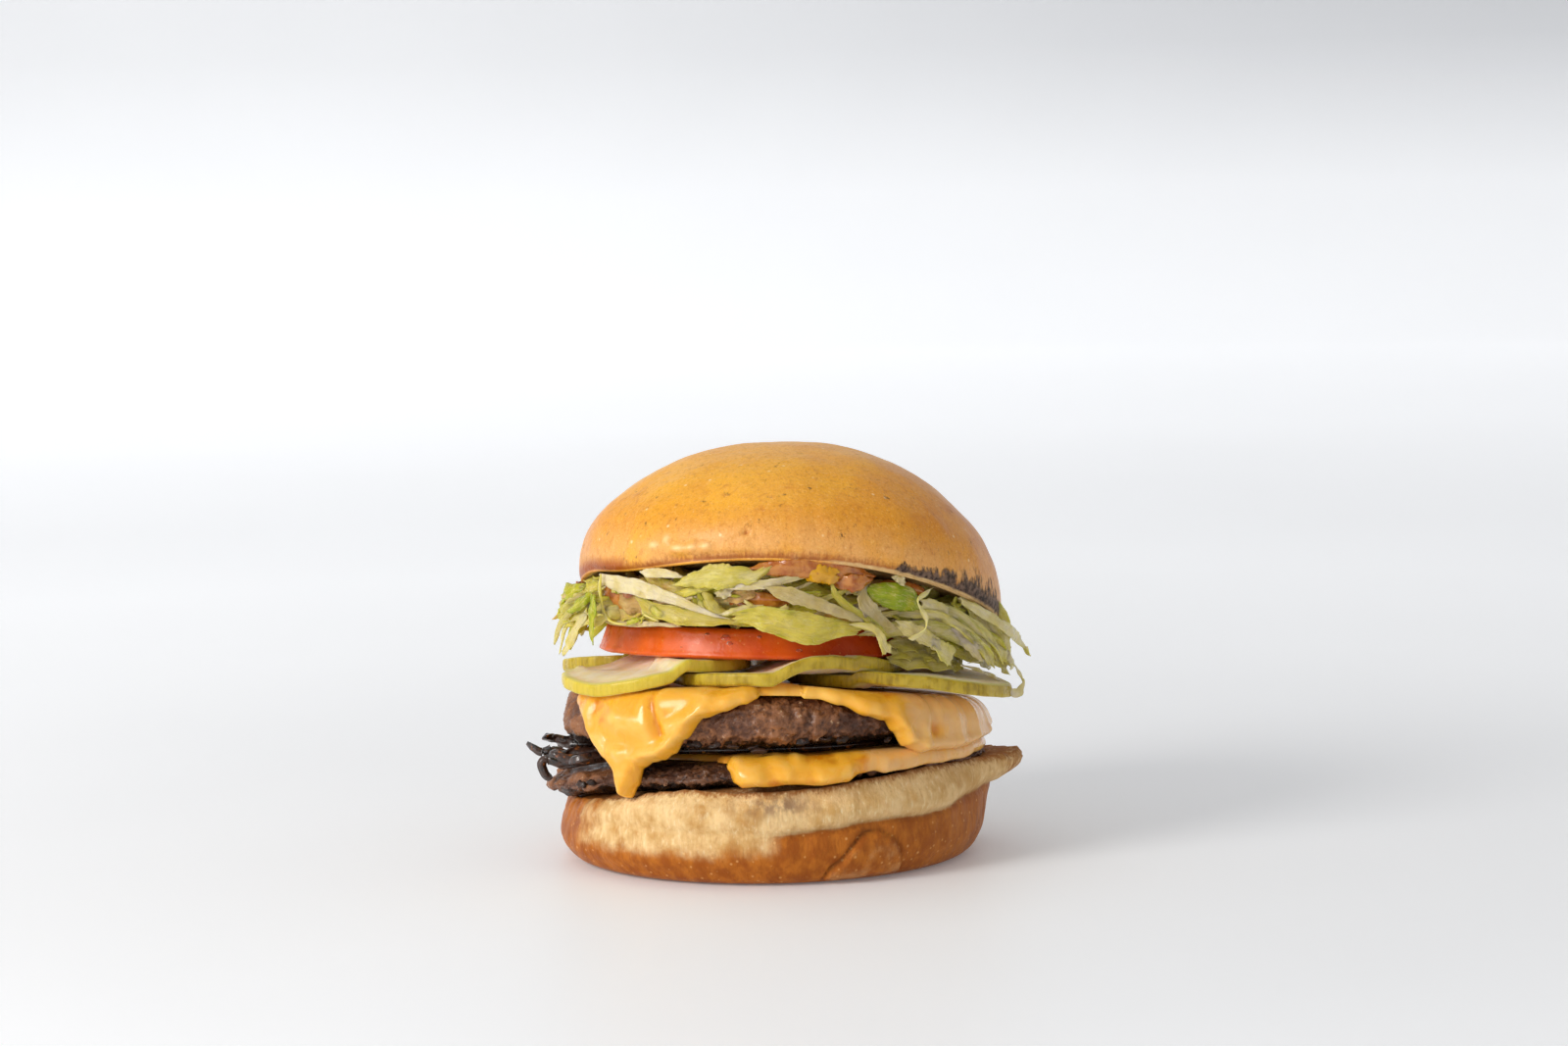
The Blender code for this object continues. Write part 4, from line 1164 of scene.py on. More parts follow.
def pickles():
    look = pickle_look()
    room = 2 * PICKLE_HALF + PICKLE_GAP + 0.2
    right = disc_surface(rim_rest, right_shape, room)
    # The last number is bright: the front left slice gets the lit rind, the rest mostly the shaded
    # one, as painted light.
    pickle("pickle_slice_right", "pickle_right", *RIGHT_SLICE, right, look, 0.15)
    on_right = above(right, *RIGHT_SLICE, rim_rest)
    middle = disc_surface(on_right, middle_shape, 0.1)
    pickle("pickle_slice_middle", "pickle_middle", *MIDDLE_SLICE, middle, look, 0.25)
    left = disc_surface(above(middle, *MIDDLE_SLICE, rim_rest), left_front_shape)
    pickle("pickle_slice_left_front", "pickle_left_front", *LEFT_SLICE, left, look, 1.0)
    on_left = above(left, *LEFT_SLICE, rim_rest)
    back_left = disc_surface(on_left, lambda x, y: 46.4 - 0.19 * (y - 14))
    pickle("pickle_slice_left_back", "pickle_left_back", (-37.2, 22.5), 17.6, back_left, look, 0.4)
    back = disc_surface(on_right, lambda x, y: 43.6 - 0.09 * (y - 30))
    pickle("pickle_slice_back", "pickle_back", (16, 32), 24.0, back, look, 0.3)


def tomato_look():
    look = Look(
        "tomato_skin", Subsurface_Weight=0.15, Subsurface_Scale=0.002,
        Subsurface_Radius=(1.0, 0.3, 0.1), Coat_Weight=0.12, Coat_Roughness=0.2,
        Specular_IOR_Level=0.3,
    )
    skin, tone = look.mask("skin"), look.mask("tone")
    # tone paints shade into the skin: deeper red towards the right, more orange on the left.
    wash = look.plus(tone, look.swing(look.noise(7, 3), 0.6))
    red = look.mix(look.ease(wash, 0.1, 0.9), (238, 106, 18), (192, 58, 12))
    fleck = look.ease(look.cells(1.9), 0.16, 0.06, 0, 0.5)
    red = look.mix(fleck, red, (238, 160, 92))
    flesh = look.mix(look.ease(look.noise(3, 3), 0.4, 0.65), (232, 120, 84), (206, 62, 34))
    look.drive(Base_Color=look.mix(skin, flesh, red))
    look.drive(Roughness=look.ease(look.noise(3.4, 3), 0.35, 0.7, 0.26, 0.46))
    fine = look.noise(0.7, 3, 0.6)
    look.drive(Normal=look.bump(fine, 0.06, look.bump(look.noise(2.4, 2), 0.12)))
    return look.made


def tomato():
    def radius(b):
        nick = 0.35 * bump(b, -43, 2.2)
        return TOMATO_RADIUS - 0.9 * bump(b, 60, 40) + 0.8 * bump(b, -75, 35) - nick

    edge = (
        (-0.6, 0.0), (-0.05, 0.05), (-0.5, 0.22), (-1.1, 0.46), (-1.75, 0.72), (-2.3, 0.93),
        (-2.9, 1.0),
    )
    p = slab((0, 0), radius, tomato_base, tomato_top, edge, TOMATO_COLUMNS, 0.4, 0.12)
    x, y = p[..., 0], p[..., 1]
    out = np.hypot(x, y) / radius(bearing_of(x, y))
    masks = {
        "skin": smooth(0.915, 0.935, out),
        # Painted shade: darker towards the right.
        "tone": between(((-180, 0.6), (-50, 0.35), (60, 0.85)), bearing_of(x, y)),
    }
    closed_piece("tomato_slice", p, masks, tomato_look(), "tomato", "tomato")


# ---- lettuce -----------------------------------------------------------------------------


def path_through(stations, count):
    """Smooth points through (bearing, radius, height) stations."""
    spots = [np.array([*on_bearing(b, r), z]) for b, r, z in stations]
    spots = [spots[0] * 2 - spots[1]] + spots + [spots[-1] * 2 - spots[-2]]
    spans = len(spots) - 3
    found = []
    for i in range(count):
        t = spans * i / (count - 1)
        k = min(int(t), spans - 1)
        t -= k
        a, b, c, d = spots[k : k + 4]
        found.append(
            0.5 * (2 * b + (c - a) * t + (2 * a - 5 * b + 4 * c - d) * t * t
                   + (3 * b - a - 3 * c + d) * t**3)
        )
    return np.array(found)


class Heap:
    """Many thin closed leaves gathered into one mesh."""

    def __init__(self):
        self.points, self.quads, self.masks, self.count = [], [], {}, 0

    def add(self, points, quads, masks):
        self.points.append(points)
        self.quads.append(quads + self.count)
        self.count += len(points)
        for key, value in masks.items():
            self.masks.setdefault(key, []).append(np.broadcast_to(value, len(points)))

    def made(self, name, look, slot, *nodes):
        masks = {key: np.concatenate(value) for key, value in self.masks.items()}
        points, quads = np.concatenate(self.points), np.concatenate(self.quads)
        return worn(make_mesh(name, points, [quads], masks, look), slot, *nodes)

    def leaf(
        self, stations, widths, seed, thick=0.36, cup=0.0, ruffle=0.5, waves=2.5, twist=0.0,
        jag=0.14, rib=0.0, green=0.5, white=0.0, rows=30, across=15, tips=(0.8, 0.6), start=0.0,
        stain=0.0, shade=0.0, crisp=1.0,
    ):
        """Leaf along a path. rib thickens its middle; white, green and stain set its colour.

        crisp scales the frayed ends, the ribs that run along it and its small folds.
        """
        path = path_through(stations, rows)
        ahead = np.gradient(path, axis=0)
        length = np.linalg.norm(ahead, axis=1).sum()
        ahead /= np.linalg.norm(ahead, axis=1, keepdims=True)
        outward = path * [1, 1, 0]
        outward /= np.linalg.norm(outward, axis=1, keepdims=True)
        side = np.cross(ahead, outward)
        side /= np.linalg.norm(side, axis=1, keepdims=True)
        face = np.cross(side, ahead)
        s = np.linspace(0, 1, rows)[:, None]
        angle = np.radians(start + twist * s)
        sine, cosine = np.sin(angle), np.cos(angle)
        side, face = side * cosine + face * sine, face * cosine - side * sine
        v = np.linspace(-1, 1, across)[None, :]
        key = np.stack([s * 9.0 + 0 * v, np.sign(v) + 0 * s, 0 * s * v + seed * 3.7], -1)
        tear = 1 + jag * noise(key, 0.9, seed) + 0.6 * jag * noise(key, 0.3, seed + 1)
        width = np.interp(s, np.linspace(0, 1, len(widths)), widths)
        width = width * (tips[0] + (1 - tips[0]) * smooth(0, 0.12, s))
        width = width * (tips[1] + (1 - tips[1]) * smooth(1, 0.86, s))
        phase = (seed * 2.399) % 6.28
        rim = np.abs(v) ** 1.4
        bow = ruffle * rim * np.sin(2 * math.pi * waves * s + phase + 1.3 * np.sign(v))
        bow = bow + cup * width * (v * v - 0.35)
        spot = path[:, None] + side[:, None] * (width / 2 * v * tear)[..., None]
        run = s * length / 4.5 + 0 * v
        flat = np.stack([v * width / 2 + 0 * s, run, 0 * s * v + seed * 5.1], -1)
        fray = noise(flat * [1, 0, 1], 0.9, seed + 6) * (smooth(0.8, 1, s) - smooth(0.2, 0, s))
        spot = spot + ahead[:, None] * (crisp * 0.45 * np.max(widths) * fray)[..., None]
        ribs = 0.16 * noise(flat, 1.0, seed + 8) + 0.3 * noise(flat * [1, 2.4, 1], 3.4, seed + 9)
        fold = 0.5 * (0.3 - np.abs(noise(spot, 4.2, seed + 3)))
        bow = bow + crisp * (ribs + fold) * np.minimum(1.0, width / 3.5)
        spot = spot + face[:, None] * (bow + 0.22 * noise(spot, 3.0, seed + 2))[..., None]
        half = thick / 2 * (1 - 0.45 * np.abs(v) ** 3) + rib / 2 * hump(v, 0.45)
        half = half * (0.75 + 0.25 * smooth(0, 0.06, s) * smooth(1, 0.94, s))
        top = spot + face[:, None] * half[..., None]
        low = spot - face[:, None] * half[..., None]
        i = np.arange(rows - 1)[:, None] * across
        j = np.arange(across - 1)[None, :]
        a = i + j
        quads = [np.stack([a, a + across, a + across + 1, a + 1], -1).reshape(-1, 4)]
        m = rows * across
        quads.append(quads[0][:, ::-1] + m)
        for column, flip in ((0, 1), (across - 1, -1)):
            e = np.arange(rows - 1) * across + column
            wall = np.stack([e, e + m, e + across + m, e + across], -1)
            quads.append(wall[:, ::flip])
        for row, flip in ((0, -1), (rows - 1, 1)):
            e = row * across + np.arange(across - 1)
            wall = np.stack([e, e + m, e + 1 + m, e + 1], -1)
            quads.append(wall[:, ::flip])
        whiteness = white + (0.9 * (rib > 0) + 0.15) * hump(v, 0.35) + 0 * s
        tint = green + 0.25 * rim - 0.2 + 0.12 * noise(spot, 5, seed + 4)
        values = {"white": np.clip(whiteness, 0, 1), "green": np.clip(tint, 0, 1)}
        values["across"] = v * width / 2
        values["run"] = s * length / 6 + 0 * v + seed
        values["stain"] = np.clip(stain * (1.2 + 0.8 * noise(spot, 3, seed + 5)), 0, 1)
        values["shade"] = shade + 0 * s * v
        both = {k: np.concatenate([w.ravel(), w.ravel()]) for k, w in values.items()}
        points = np.concatenate([top.reshape(-1, 3), low.reshape(-1, 3)])
        self.add(points, np.concatenate(quads), both)


def leaf_look():
    look = Look(
        "lettuce_leaf", Subsurface_Weight=0.55, Subsurface_Scale=0.004, Specular_IOR_Level=0.22,
        Subsurface_Radius=(0.9, 1.0, 0.3), Coat_Weight=0.1, Coat_Roughness=0.15,
    )
    white, green = look.mask("white"), look.mask("green")
    wash = look.swing(look.noise(3.2, 3), 0.7)
    level = look.plus(green, wash)
    base = look.mix(look.ease(level, 0.0, 0.4), (236, 218, 132), (216, 198, 74))
    base = look.over(
        base,
        (look.ease(level, 0.4, 0.7), (182, 180, 38)),
        (look.ease(level, 0.7, 1.1), (128, 154, 10)),
    )
    strip = look.node("CombineXYZ", {0: look.mask("across"), 1: look.mask("run")}).outputs[0]
    fibre = look.node("TexNoise", {"Vector": strip, "Scale": 2.2, "Detail": 4.0, "Distortion": 0.4})
    vein = look.node("TexNoise", {"Vector": strip, "Scale": 0.9, "Detail": 2.0, "Distortion": 1.2})
    fibre, vein = fibre.outputs["Fac"], vein.outputs["Fac"]
    line = look.ease(look.math("ABSOLUTE", look.math("SUBTRACT", vein, 0.5)), 0.035, 0.0)
    base = look.over(
        base,
        (look.times(line, 0.4), (238, 226, 146)),
        (look.ease(fibre, 0.52, 0.72, 0, 0.4), (238, 222, 134)),
        (look.ease(fibre, 0.45, 0.25, 0, 0.3), (158, 158, 44)),
    )
    pith = look.plus(white, look.swing(fibre, 0.6))
    cream = look.mix(look.ease(look.noise(4, 2), 0.4, 0.65), (232, 214, 166), (214, 192, 128))
    base = look.mix(look.ease(pith, 0.2, 0.75), base, cream)
    soaked = look.plus(look.mask("stain"), look.swing(look.noise(2.2, 3), 0.8))
    tint = look.mix(look.noise(3.2, 2), (184, 124, 52), (222, 170, 106))
    base = look.over(
        base,
        (look.ease(soaked, 0.35, 0.9, 0, 0.85), tint),
        (look.mask("shade"), (126, 100, 40)),
    )
    look.drive(Base_Color=base)
    look.drive(Roughness=look.ease(look.noise(2, 2), 0.3, 0.7, 0.22, 0.5))
    under = look.bump(look.noise(0.8, 3, 0.6), 0.06)
    look.drive(Normal=look.bump(fibre, 0.14, look.bump(line, 0.08, under)))
    return look.made


def core_look():
    look = Look("lettuce_core", Roughness=0.5, Subsurface_Weight=0.3, Subsurface_Scale=0.002)
    tone = look.noise(2.6, 4, 0.6, 0.8)
    # The core's dark olive and brown stand in for the shade deep inside the heap: painted shade.
    base = look.mix(look.ease(tone, 0.35, 0.6), (78, 58, 10), (168, 142, 46))
    base = look.mix(look.ease(look.noise(6, 2), 0.5, 0.7, 0, 0.6), base, (150, 96, 44))
    look.drive(Base_Color=base, Normal=look.bump(tone, 0.9))
    return look.made


def lettuce_core():
    edge = ((-3.2, 0.0), (-1.2, 0.12), (-0.4, 0.35), (-0.4, 0.65), (-1.2, 0.88), (-3.4, 1.0))
    p = slab(
        (0, 0), lambda b: 42.6 - 1.2 * bump(b, -90, 40), lambda x, y: tomato_top(x, y) + GAP,
        lambda x, y: crown_base(x, y) - GAP, edge, CORE_COLUMNS, 0.7,
    )
    side = smooth(34, 39, np.hypot(p[..., 0], p[..., 1]))
    far, second, own = cells(p * [1, 1, 1.7], 5.0, 81)
    push = 1.8 * smooth(0, 0.5, second - far) * (0.4 + own) - 1.6 + 0.5 * noise(p, 2, 82, 2)
    p = p + normals(p) * (push * side)[..., None]
    # A dark core inside the leaves, there as painted shade.
    closed_piece("lettuce_core", p, {}, core_look(), "lettuce", "lettuce")


# The leaves that stand out in the photo: seed, widths, (bearing, radius, height) stations and
# options. First those under the crown's front, then the mass at the right and the left tuft.
FRONT_LEAVES = (
    (1, (3.1, 3.6, 4.2, 4.0, 3.1, 2.4, 1.5, 0.9, 0.2),
     ((-55.1, 50.6, 73.2), (-47.9, 51.2, 72.6), (-40.3, 51.6, 72.2), (-35.1, 51.6, 71.5),
      (-30.4, 51.4, 70.5), (-25.1, 51.0, 69.1), (-20.0, 50.6, 67.3), (-15.0, 50.2, 65.8),
      (-10.5, 49.8, 64.8)),
     dict(thick=0.9, ruffle=0.12, jag=0.12, white=0.85, green=0.1, rows=90)),
    (51, (0.5, 0.9, 0.9, 0.8, 0.7, 0.4),
     ((-52.7, 52.2, 74.6), (-52.7, 52.6, 71.5), (-52.1, 52.6, 67.9), (-51.3, 52.2, 64.9),
      (-48.1, 51.8, 62.9), (-43.6, 51.0, 62.7)),
     dict(thick=0.5, green=0.35, rows=60, across=7, jag=0.05, ruffle=0.1)),
    (2, (1.5, 3.6, 4.2, 4.0, 3.4, 2.6),
     ((-40.7, 49.2, 69.0), (-35.8, 49.8, 66.9), (-29.4, 50.2, 66.0), (-23.8, 50.2, 65.2),
      (-18.7, 49.8, 64.8), (-10.7, 49.0, 64.5)),
     dict(shade=0.2, cup=0.14, green=0.5, rows=70, jag=0.1, ruffle=0.3)),
    (52, (2.6, 4.4, 5.5, 4.7, 2.2),
     ((-59.7, 47.6, 69.9), (-52.3, 48.4, 68.2), (-46.2, 48.8, 67.5), (-40.7, 48.2, 67.1),
      (-37.3, 47.0, 66.4)),
     dict(green=0.2, stain=0.8, rows=60, ruffle=0.8, waves=4, cup=-0.2)),
    (53, (1.8, 3.3, 2.9, 2.2),
     ((-61.1, 47.6, 63.4), (-52.5, 48.4, 64.1), (-45.2, 48.6, 65.0), (-40.4, 47.4, 66.3)),
     dict(green=0.4, stain=0.5, rows=50, ruffle=0.7, waves=3, cup=0.2)),
    (4, (0.8, 2.6, 4.2, 5.4, 6.0, 5.0, 3.4, 2.2),
     ((-26.7, 50.6, 73.1), (-24.0, 51.2, 73.8), (-20.2, 51.8, 74.7), (-15.8, 52.2, 75.5),
      (-11.6, 52.4, 75.7), (-7.7, 52.2, 75.6), (-4.2, 51.8, 75.7), (-0.8, 51.2, 77.1)),
     dict(cup=-0.06, green=0.42, rows=90, jag=0.24, ruffle=0.4, waves=3, crisp=1.7,
          tips=(0.5, 0.9))),
    (5, (0.4, 1.9, 2.2, 2.1, 1.6, 0.7),
     ((-11.9, 51.6, 72.6), (-7.4, 52.0, 73.1), (-3.0, 52.2, 73.4), (1.0, 52.0, 73.9),
      (5.0, 51.6, 74.5), (9.1, 51.0, 74.7)),
     dict(green=0.15, white=0.5, rows=60, jag=0.16, ruffle=0.15)),
    (3, (0.4, 2.2, 2.4, 1.6, 0.5),
     ((-38.6, 50.4, 75.9), (-35.5, 51.0, 75.7), (-31.2, 51.4, 75.9), (-27.1, 51.2, 75.6),
      (-24.4, 50.4, 75.1)),
     dict(thick=0.9, white=0.9, green=0.05, rows=40, jag=0.12, ruffle=0.1)),
    (54, (1.1, 3.3, 3.6, 2.2),
     ((-39.3, 48.2, 74.5), (-34.0, 48.6, 72.9), (-28.9, 48.6, 71.7), (-24.9, 48.0, 71.0)),
     dict(green=0.45, stain=0.5, rows=40, ruffle=0.3)),
    (55, (0.7, 2.2, 2.9, 1.8),
     ((-22.1, 49.2, 72.2), (-20.9, 49.8, 70.5), (-19.8, 50.0, 68.8), (-17.8, 49.6, 67.3)),
     dict(shade=0.35, green=0.75, rows=36, cup=0.3, ruffle=0.2)),
    (56, (1.1, 3.2, 3.6, 2.5, 1.1),
     ((-19.9, 49.6, 72.1), (-17.9, 50.2, 69.9), (-16.2, 50.4, 67.8), (-13.8, 50.0, 66.3),
      (-10.1, 49.4, 65.9)),
     dict(shade=0.3, green=0.5, rows=44, cup=-0.25, ruffle=0.3, waves=2)),
    (57, (0.7, 2.5, 1.8),
     ((-15.2, 50.6, 71.1), (-12.9, 51.0, 71.2), (-10.5, 50.6, 71.7)),
     dict(green=0.2, white=0.5, rows=24, stain=0.2)),
    (58, (1.8, 3.2, 2.5, 1.4),
     ((-12.2, 49.2, 69.9), (-9.5, 49.8, 70.3), (-6.1, 49.6, 71.0), (-3.3, 48.8, 71.4)),
     dict(green=0.2, stain=1.0, rows=36, ruffle=0.4, cup=0.2)),
    (59, (0.4, 1.6, 1.8, 0.7),
     ((-14.5, 50.4, 66.0), (-10.6, 50.8, 66.9), (-6.5, 50.8, 67.6), (-2.0, 50.2, 68.2)),
     dict(green=0.3, white=0.35, rows=40, jag=0.14)),
    (6, (2.6, 4.0, 5.9, 6.6, 7.6, 7.9, 7.0, 5.6, 4.2, 2.4),
     ((-10.6, 50.2, 65.0), (-6.5, 51.2, 65.7), (-2.4, 52.2, 65.5), (1.5, 52.9, 64.7),
      (5.4, 53.3, 63.7), (9.2, 53.4, 62.9), (12.4, 53.2, 62.3), (15.3, 52.9, 62.3),
      (19.2, 52.4, 62.3), (24.9, 51.4, 61.4)),
     dict(shade=0.12, cup=0.06, green=0.5, rows=110, jag=0.08, ruffle=0.7, waves=3)),
    (7, (1.1, 2.9, 3.7, 3.6, 3.2, 2.6, 2.1, 0.5),
     ((-0.6, 52.6, 72.3), (2.2, 53.2, 71.8), (5.4, 53.8, 70.9), (8.9, 54.0, 69.9),
      (12.9, 54.0, 68.4), (17.1, 53.8, 66.7), (21.1, 53.4, 65.1), (25.1, 52.8, 63.5)),
     dict(shade=0.5, thick=0.9, jag=0.2, white=0.6, green=0.15, rows=90, ruffle=0.12)),
    (60, (0.7, 1.6, 1.8, 1.9, 2.5, 3.6),
     ((21.1, 52.2, 63.1), (24.2, 53.2, 62.7), (27.3, 54.0, 61.8), (28.8, 54.6, 59.9),
      (29.4, 55.0, 58.0), (30.5, 55.2, 56.0)),
     dict(shade=0.15, thick=0.5, white=0.35, green=0.25, rows=60, ruffle=0.25, tips=(0.5, 0.9),
          jag=0.16)),
    (61, (0.7, 1.7, 2.1, 1.9, 1.5, 0.5),
     ((16.5, 51.6, 73.0), (17.7, 52.2, 70.2), (20.6, 52.6, 67.4), (24.4, 52.8, 64.9),
      (28.1, 52.8, 62.8), (32.3, 52.2, 59.9)),
     dict(shade=0.25, green=0.65, rows=56, jag=0.16, ruffle=0.2, cup=0.1)),
    (8, (0.7, 3.4, 4.5, 3.0, 0.5),
     ((26.3, 51.0, 71.7), (25.6, 51.8, 68.9), (27.0, 52.4, 66.1), (30.4, 52.2, 63.6),
      (35.8, 51.4, 61.0)),
     dict(thick=0.7, white=0.8, green=0.1, shade=0.5, rows=56, ruffle=0.15, cup=0.1)),
    (9, (0.9, 4.1, 6.1, 6.8, 6.0, 3.4),
     ((26.8, 51.0, 71.6), (29.0, 51.6, 70.6), (32.4, 52.4, 69.6), (35.9, 53.0, 68.8),
      (39.5, 53.2, 67.7), (42.4, 52.8, 66.0)),
     dict(cup=-0.14, green=1.15, rows=60, jag=0.05, ruffle=0.2, tips=(0.5, 0.9))),
    (62, (0.3, 2.1, 1.7),
     ((33.7, 52.4, 73.7), (35.8, 53.0, 73.3), (37.8, 53.2, 71.8)),
     dict(green=0.15, white=0.5, rows=20, tips=(0.2, 0.8))),
    (63, (0.6, 0.8, 1.0, 1.0, 0.8, 1.0, 1.1),
     ((47.2, 53.6, 70.0), (43.3, 54.4, 68.9), (40.5, 54.8, 67.5), (42.0, 55.0, 64.9),
      (43.3, 55.2, 62.5), (41.7, 55.2, 60.0), (37.7, 55.0, 58.4)),
     dict(thick=0.5, green=0.15, white=0.4, rows=70, across=7, tips=(0.6, 0.7))),
    (10, (2.6, 3.3, 3.3, 3.2, 3.0),
     ((43.9, 53.0, 66.7), (46.9, 53.8, 65.7), (51.2, 54.4, 63.8), (55.1, 54.6, 61.8),
      (58.7, 54.6, 60.3)),
     dict(thick=0.6, green=0.25, white=0.45, rows=50, tips=(0.8, 0.9), jag=0.14, ruffle=0.1)),
    (64, (2.7, 3.4, 2.3),
     ((56.2, 53.6, 66.1), (57.1, 54.4, 63.7), (59.5, 54.4, 61.5)),
     dict(green=0.7, rows=30, cup=0.2)),
    (65, (1.9, 3.8, 3.9, 3.6, 2.6),
     ((36.1, 52.0, 62.2), (38.9, 53.0, 60.8), (42.3, 54.0, 59.0), (45.5, 54.8, 57.3),
      (47.1, 55.4, 55.2)),
     dict(shade=0.15, thick=0.5, green=0.2, white=0.45, rows=60, jag=0.16, ruffle=0.4, waves=3)),
    (11, (2.3, 3.4, 5.3, 4.5),
     ((45.1, 54.6, 58.4), (47.1, 55.4, 56.0), (49.4, 56.0, 53.9), (52.0, 56.0, 51.6)),
     dict(thick=0.4, green=0.25, white=0.3, rows=50, jag=0.2, tips=(0.5, 0.8), ruffle=0.3,
          cup=0.15)),
)
SIDE_LEAVES = (
    (66, (3.4, 4.9, 5.7, 6.1, 5.8, 3.9),
     ((37.4, 50.0, 64.1), (42.6, 50.6, 63.0), (48.2, 51.2, 61.3), (55.6, 52.0, 58.7),
      (66.6, 52.6, 54.4), (90.0, 52.6, 48.4)),
     dict(shade=0.35, green=0.75, stain=0.3, rows=70, ruffle=0.7, waves=4, cup=0.15)),
    (67, (2.3, 4.2, 3.5, 2.0),
     ((54.0, 52.0, 55.8), (61.3, 53.4, 53.1), (72.0, 54.6, 49.9), (90.0, 55.4, 45.1)),
     dict(shade=0.3, green=0.4, white=0.2, rows=50, ruffle=0.5, waves=4)),
    (12, (2.3, 4.2, 5.8, 5.8, 4.3, 2.0),
     ((58.5, 54.6, 67.1), (62.1, 55.8, 63.6), (66.6, 57.2, 59.2), (72.3, 59.0, 53.9),
      (78.8, 60.4, 49.0), (90.0, 61.0, 45.0)),
     dict(shade=0.1, green=0.3, white=0.25, rows=70, jag=0.14, ruffle=0.6, waves=3)),
    (23, (1.9, 2.3, 2.7, 3.1, 2.4, 1.2),
     ((57.0, 55.4, 66.1), (61.8, 57.2, 63.5), (67.4, 59.4, 60.4), (74.0, 61.4, 56.8),
      (90.0, 63.4, 51.4), (90.0, 65.6, 47.7)),
     dict(thick=0.6, green=0.2, white=0.5, rows=80, jag=0.16, ruffle=0.3)),
    (68, (2.3, 3.5, 3.5, 2.3),
     ((63.6, 54.6, 56.4), (70.0, 56.4, 52.5), (76.4, 58.4, 48.6), (81.8, 60.0, 45.0)),
     dict(green=0.3, white=0.2, rows=50, jag=0.16, ruffle=0.6, waves=3)),
    (69, (0.4, 0.5, 0.5),
     ((59.4, 56.0, 50.4), (65.7, 57.0, 50.4), (72.9, 57.6, 51.8)),
     dict(thick=0.4, green=0.1, white=0.6, rows=40, across=5, tips=(0.6, 0.4))),
    (70, (0.5, 0.8, 0.9, 0.5),
     ((58.0, 55.0, 49.9), (64.0, 56.4, 48.2), (71.1, 57.6, 45.8), (78.4, 58.4, 43.1)),
     dict(thick=0.4, green=0.1, white=0.6, rows=40, across=5)),
    (29, (1.8, 2.6, 2.5, 1.8, 0.2),
     ((-53.3, 54.0, 69.7), (-52.0, 55.0, 67.0), (-52.1, 55.4, 63.7), (-52.0, 55.6, 60.4),
      (-51.7, 55.6, 56.9)),
     dict(cup=0.2, green=1.0, rows=50, jag=0.05, ruffle=0.15)),
    (30, (2.2, 2.7, 3.1, 2.9, 1.5),
     ((-57.5, 53.8, 65.7), (-57.1, 55.6, 63.3), (-58.9, 56.6, 59.8), (-62.5, 57.0, 56.1),
      (-65.6, 57.0, 53.9)),
     dict(green=0.2, white=0.3, rows=56, jag=0.14, ruffle=0.35, thick=0.35)),
    (27, (1.5, 2.1, 1.9, 0.5),
     ((-58.8, 53.0, 71.5), (-60.7, 54.6, 70.3), (-62.2, 56.0, 69.1), (-64.9, 56.6, 67.1)),
     dict(green=0.85, rows=44, jag=0.2, cup=0.25)),
    (28, (2.2, 3.1, 2.6, 0.7),
     ((-55.7, 53.0, 69.5), (-57.1, 54.8, 68.0), (-60.2, 55.8, 66.0), (-62.9, 56.2, 64.4)),
     dict(green=0.95, rows=44, jag=0.16, cup=-0.25)),
    (31, (0.4, 1.5, 1.1),
     ((-59.5, 55.0, 61.1), (-60.9, 56.4, 61.7), (-65.0, 57.0, 62.2)),
     dict(green=0.5, rows=24, cup=0.2)),
    (32, (0.4, 0.8, 0.4),
     ((-58.1, 54.4, 64.5), (-52.3, 54.8, 64.9), (-49.5, 54.0, 64.9)),
     dict(thick=0.5, green=0.4, rows=24, across=5)),
    (33, (2.2, 2.9, 1.5),
     ((-55.0, 51.6, 71.6), (-57.2, 53.0, 70.8), (-60.2, 54.0, 70.6)),
     dict(green=0.6, rows=30, stain=0.3, ruffle=0.4)),
    (34, (0.7, 1.6, 1.1),
     ((-45.3, 49.6, 62.5), (-42.4, 50.0, 63.5), (-40.5, 49.6, 63.9)),
     dict(green=0.9, rows=20)),
    (35, (0.4, 0.7, 0.4),
     ((-39.1, 50.4, 63.0), (-38.1, 50.6, 64.5), (-37.6, 50.2, 65.6)),
     dict(green=0.6, rows=20, across=5)),
    (36, (1.1, 1.5, 1.3, 0.7),
     ((-58.3, 48.0, 62.2), (-46.9, 48.4, 62.3), (-36.1, 48.4, 62.9), (-27.4, 47.6, 62.7)),
     dict(green=0.2, white=0.5, rows=40)),
    (25, (2.4, 3.0, 2.8, 1.8),
     ((72, 45, 55), (77, 58.6, 51.2), (78.4, 62, 47), (77, 64.2, 43.2), (73.6, 63.6, 41.2),
      (71, 61.6, 42.4)),
     dict(thick=0.4, ruffle=0.4, white=0.6, green=0.1, rows=56, waves=4)),
)


def heaped(leaves):
    heap = Heap()
    for seed, widths, stations, options in leaves:
        heap.leaf(stations, widths, seed, **options)
    return heap


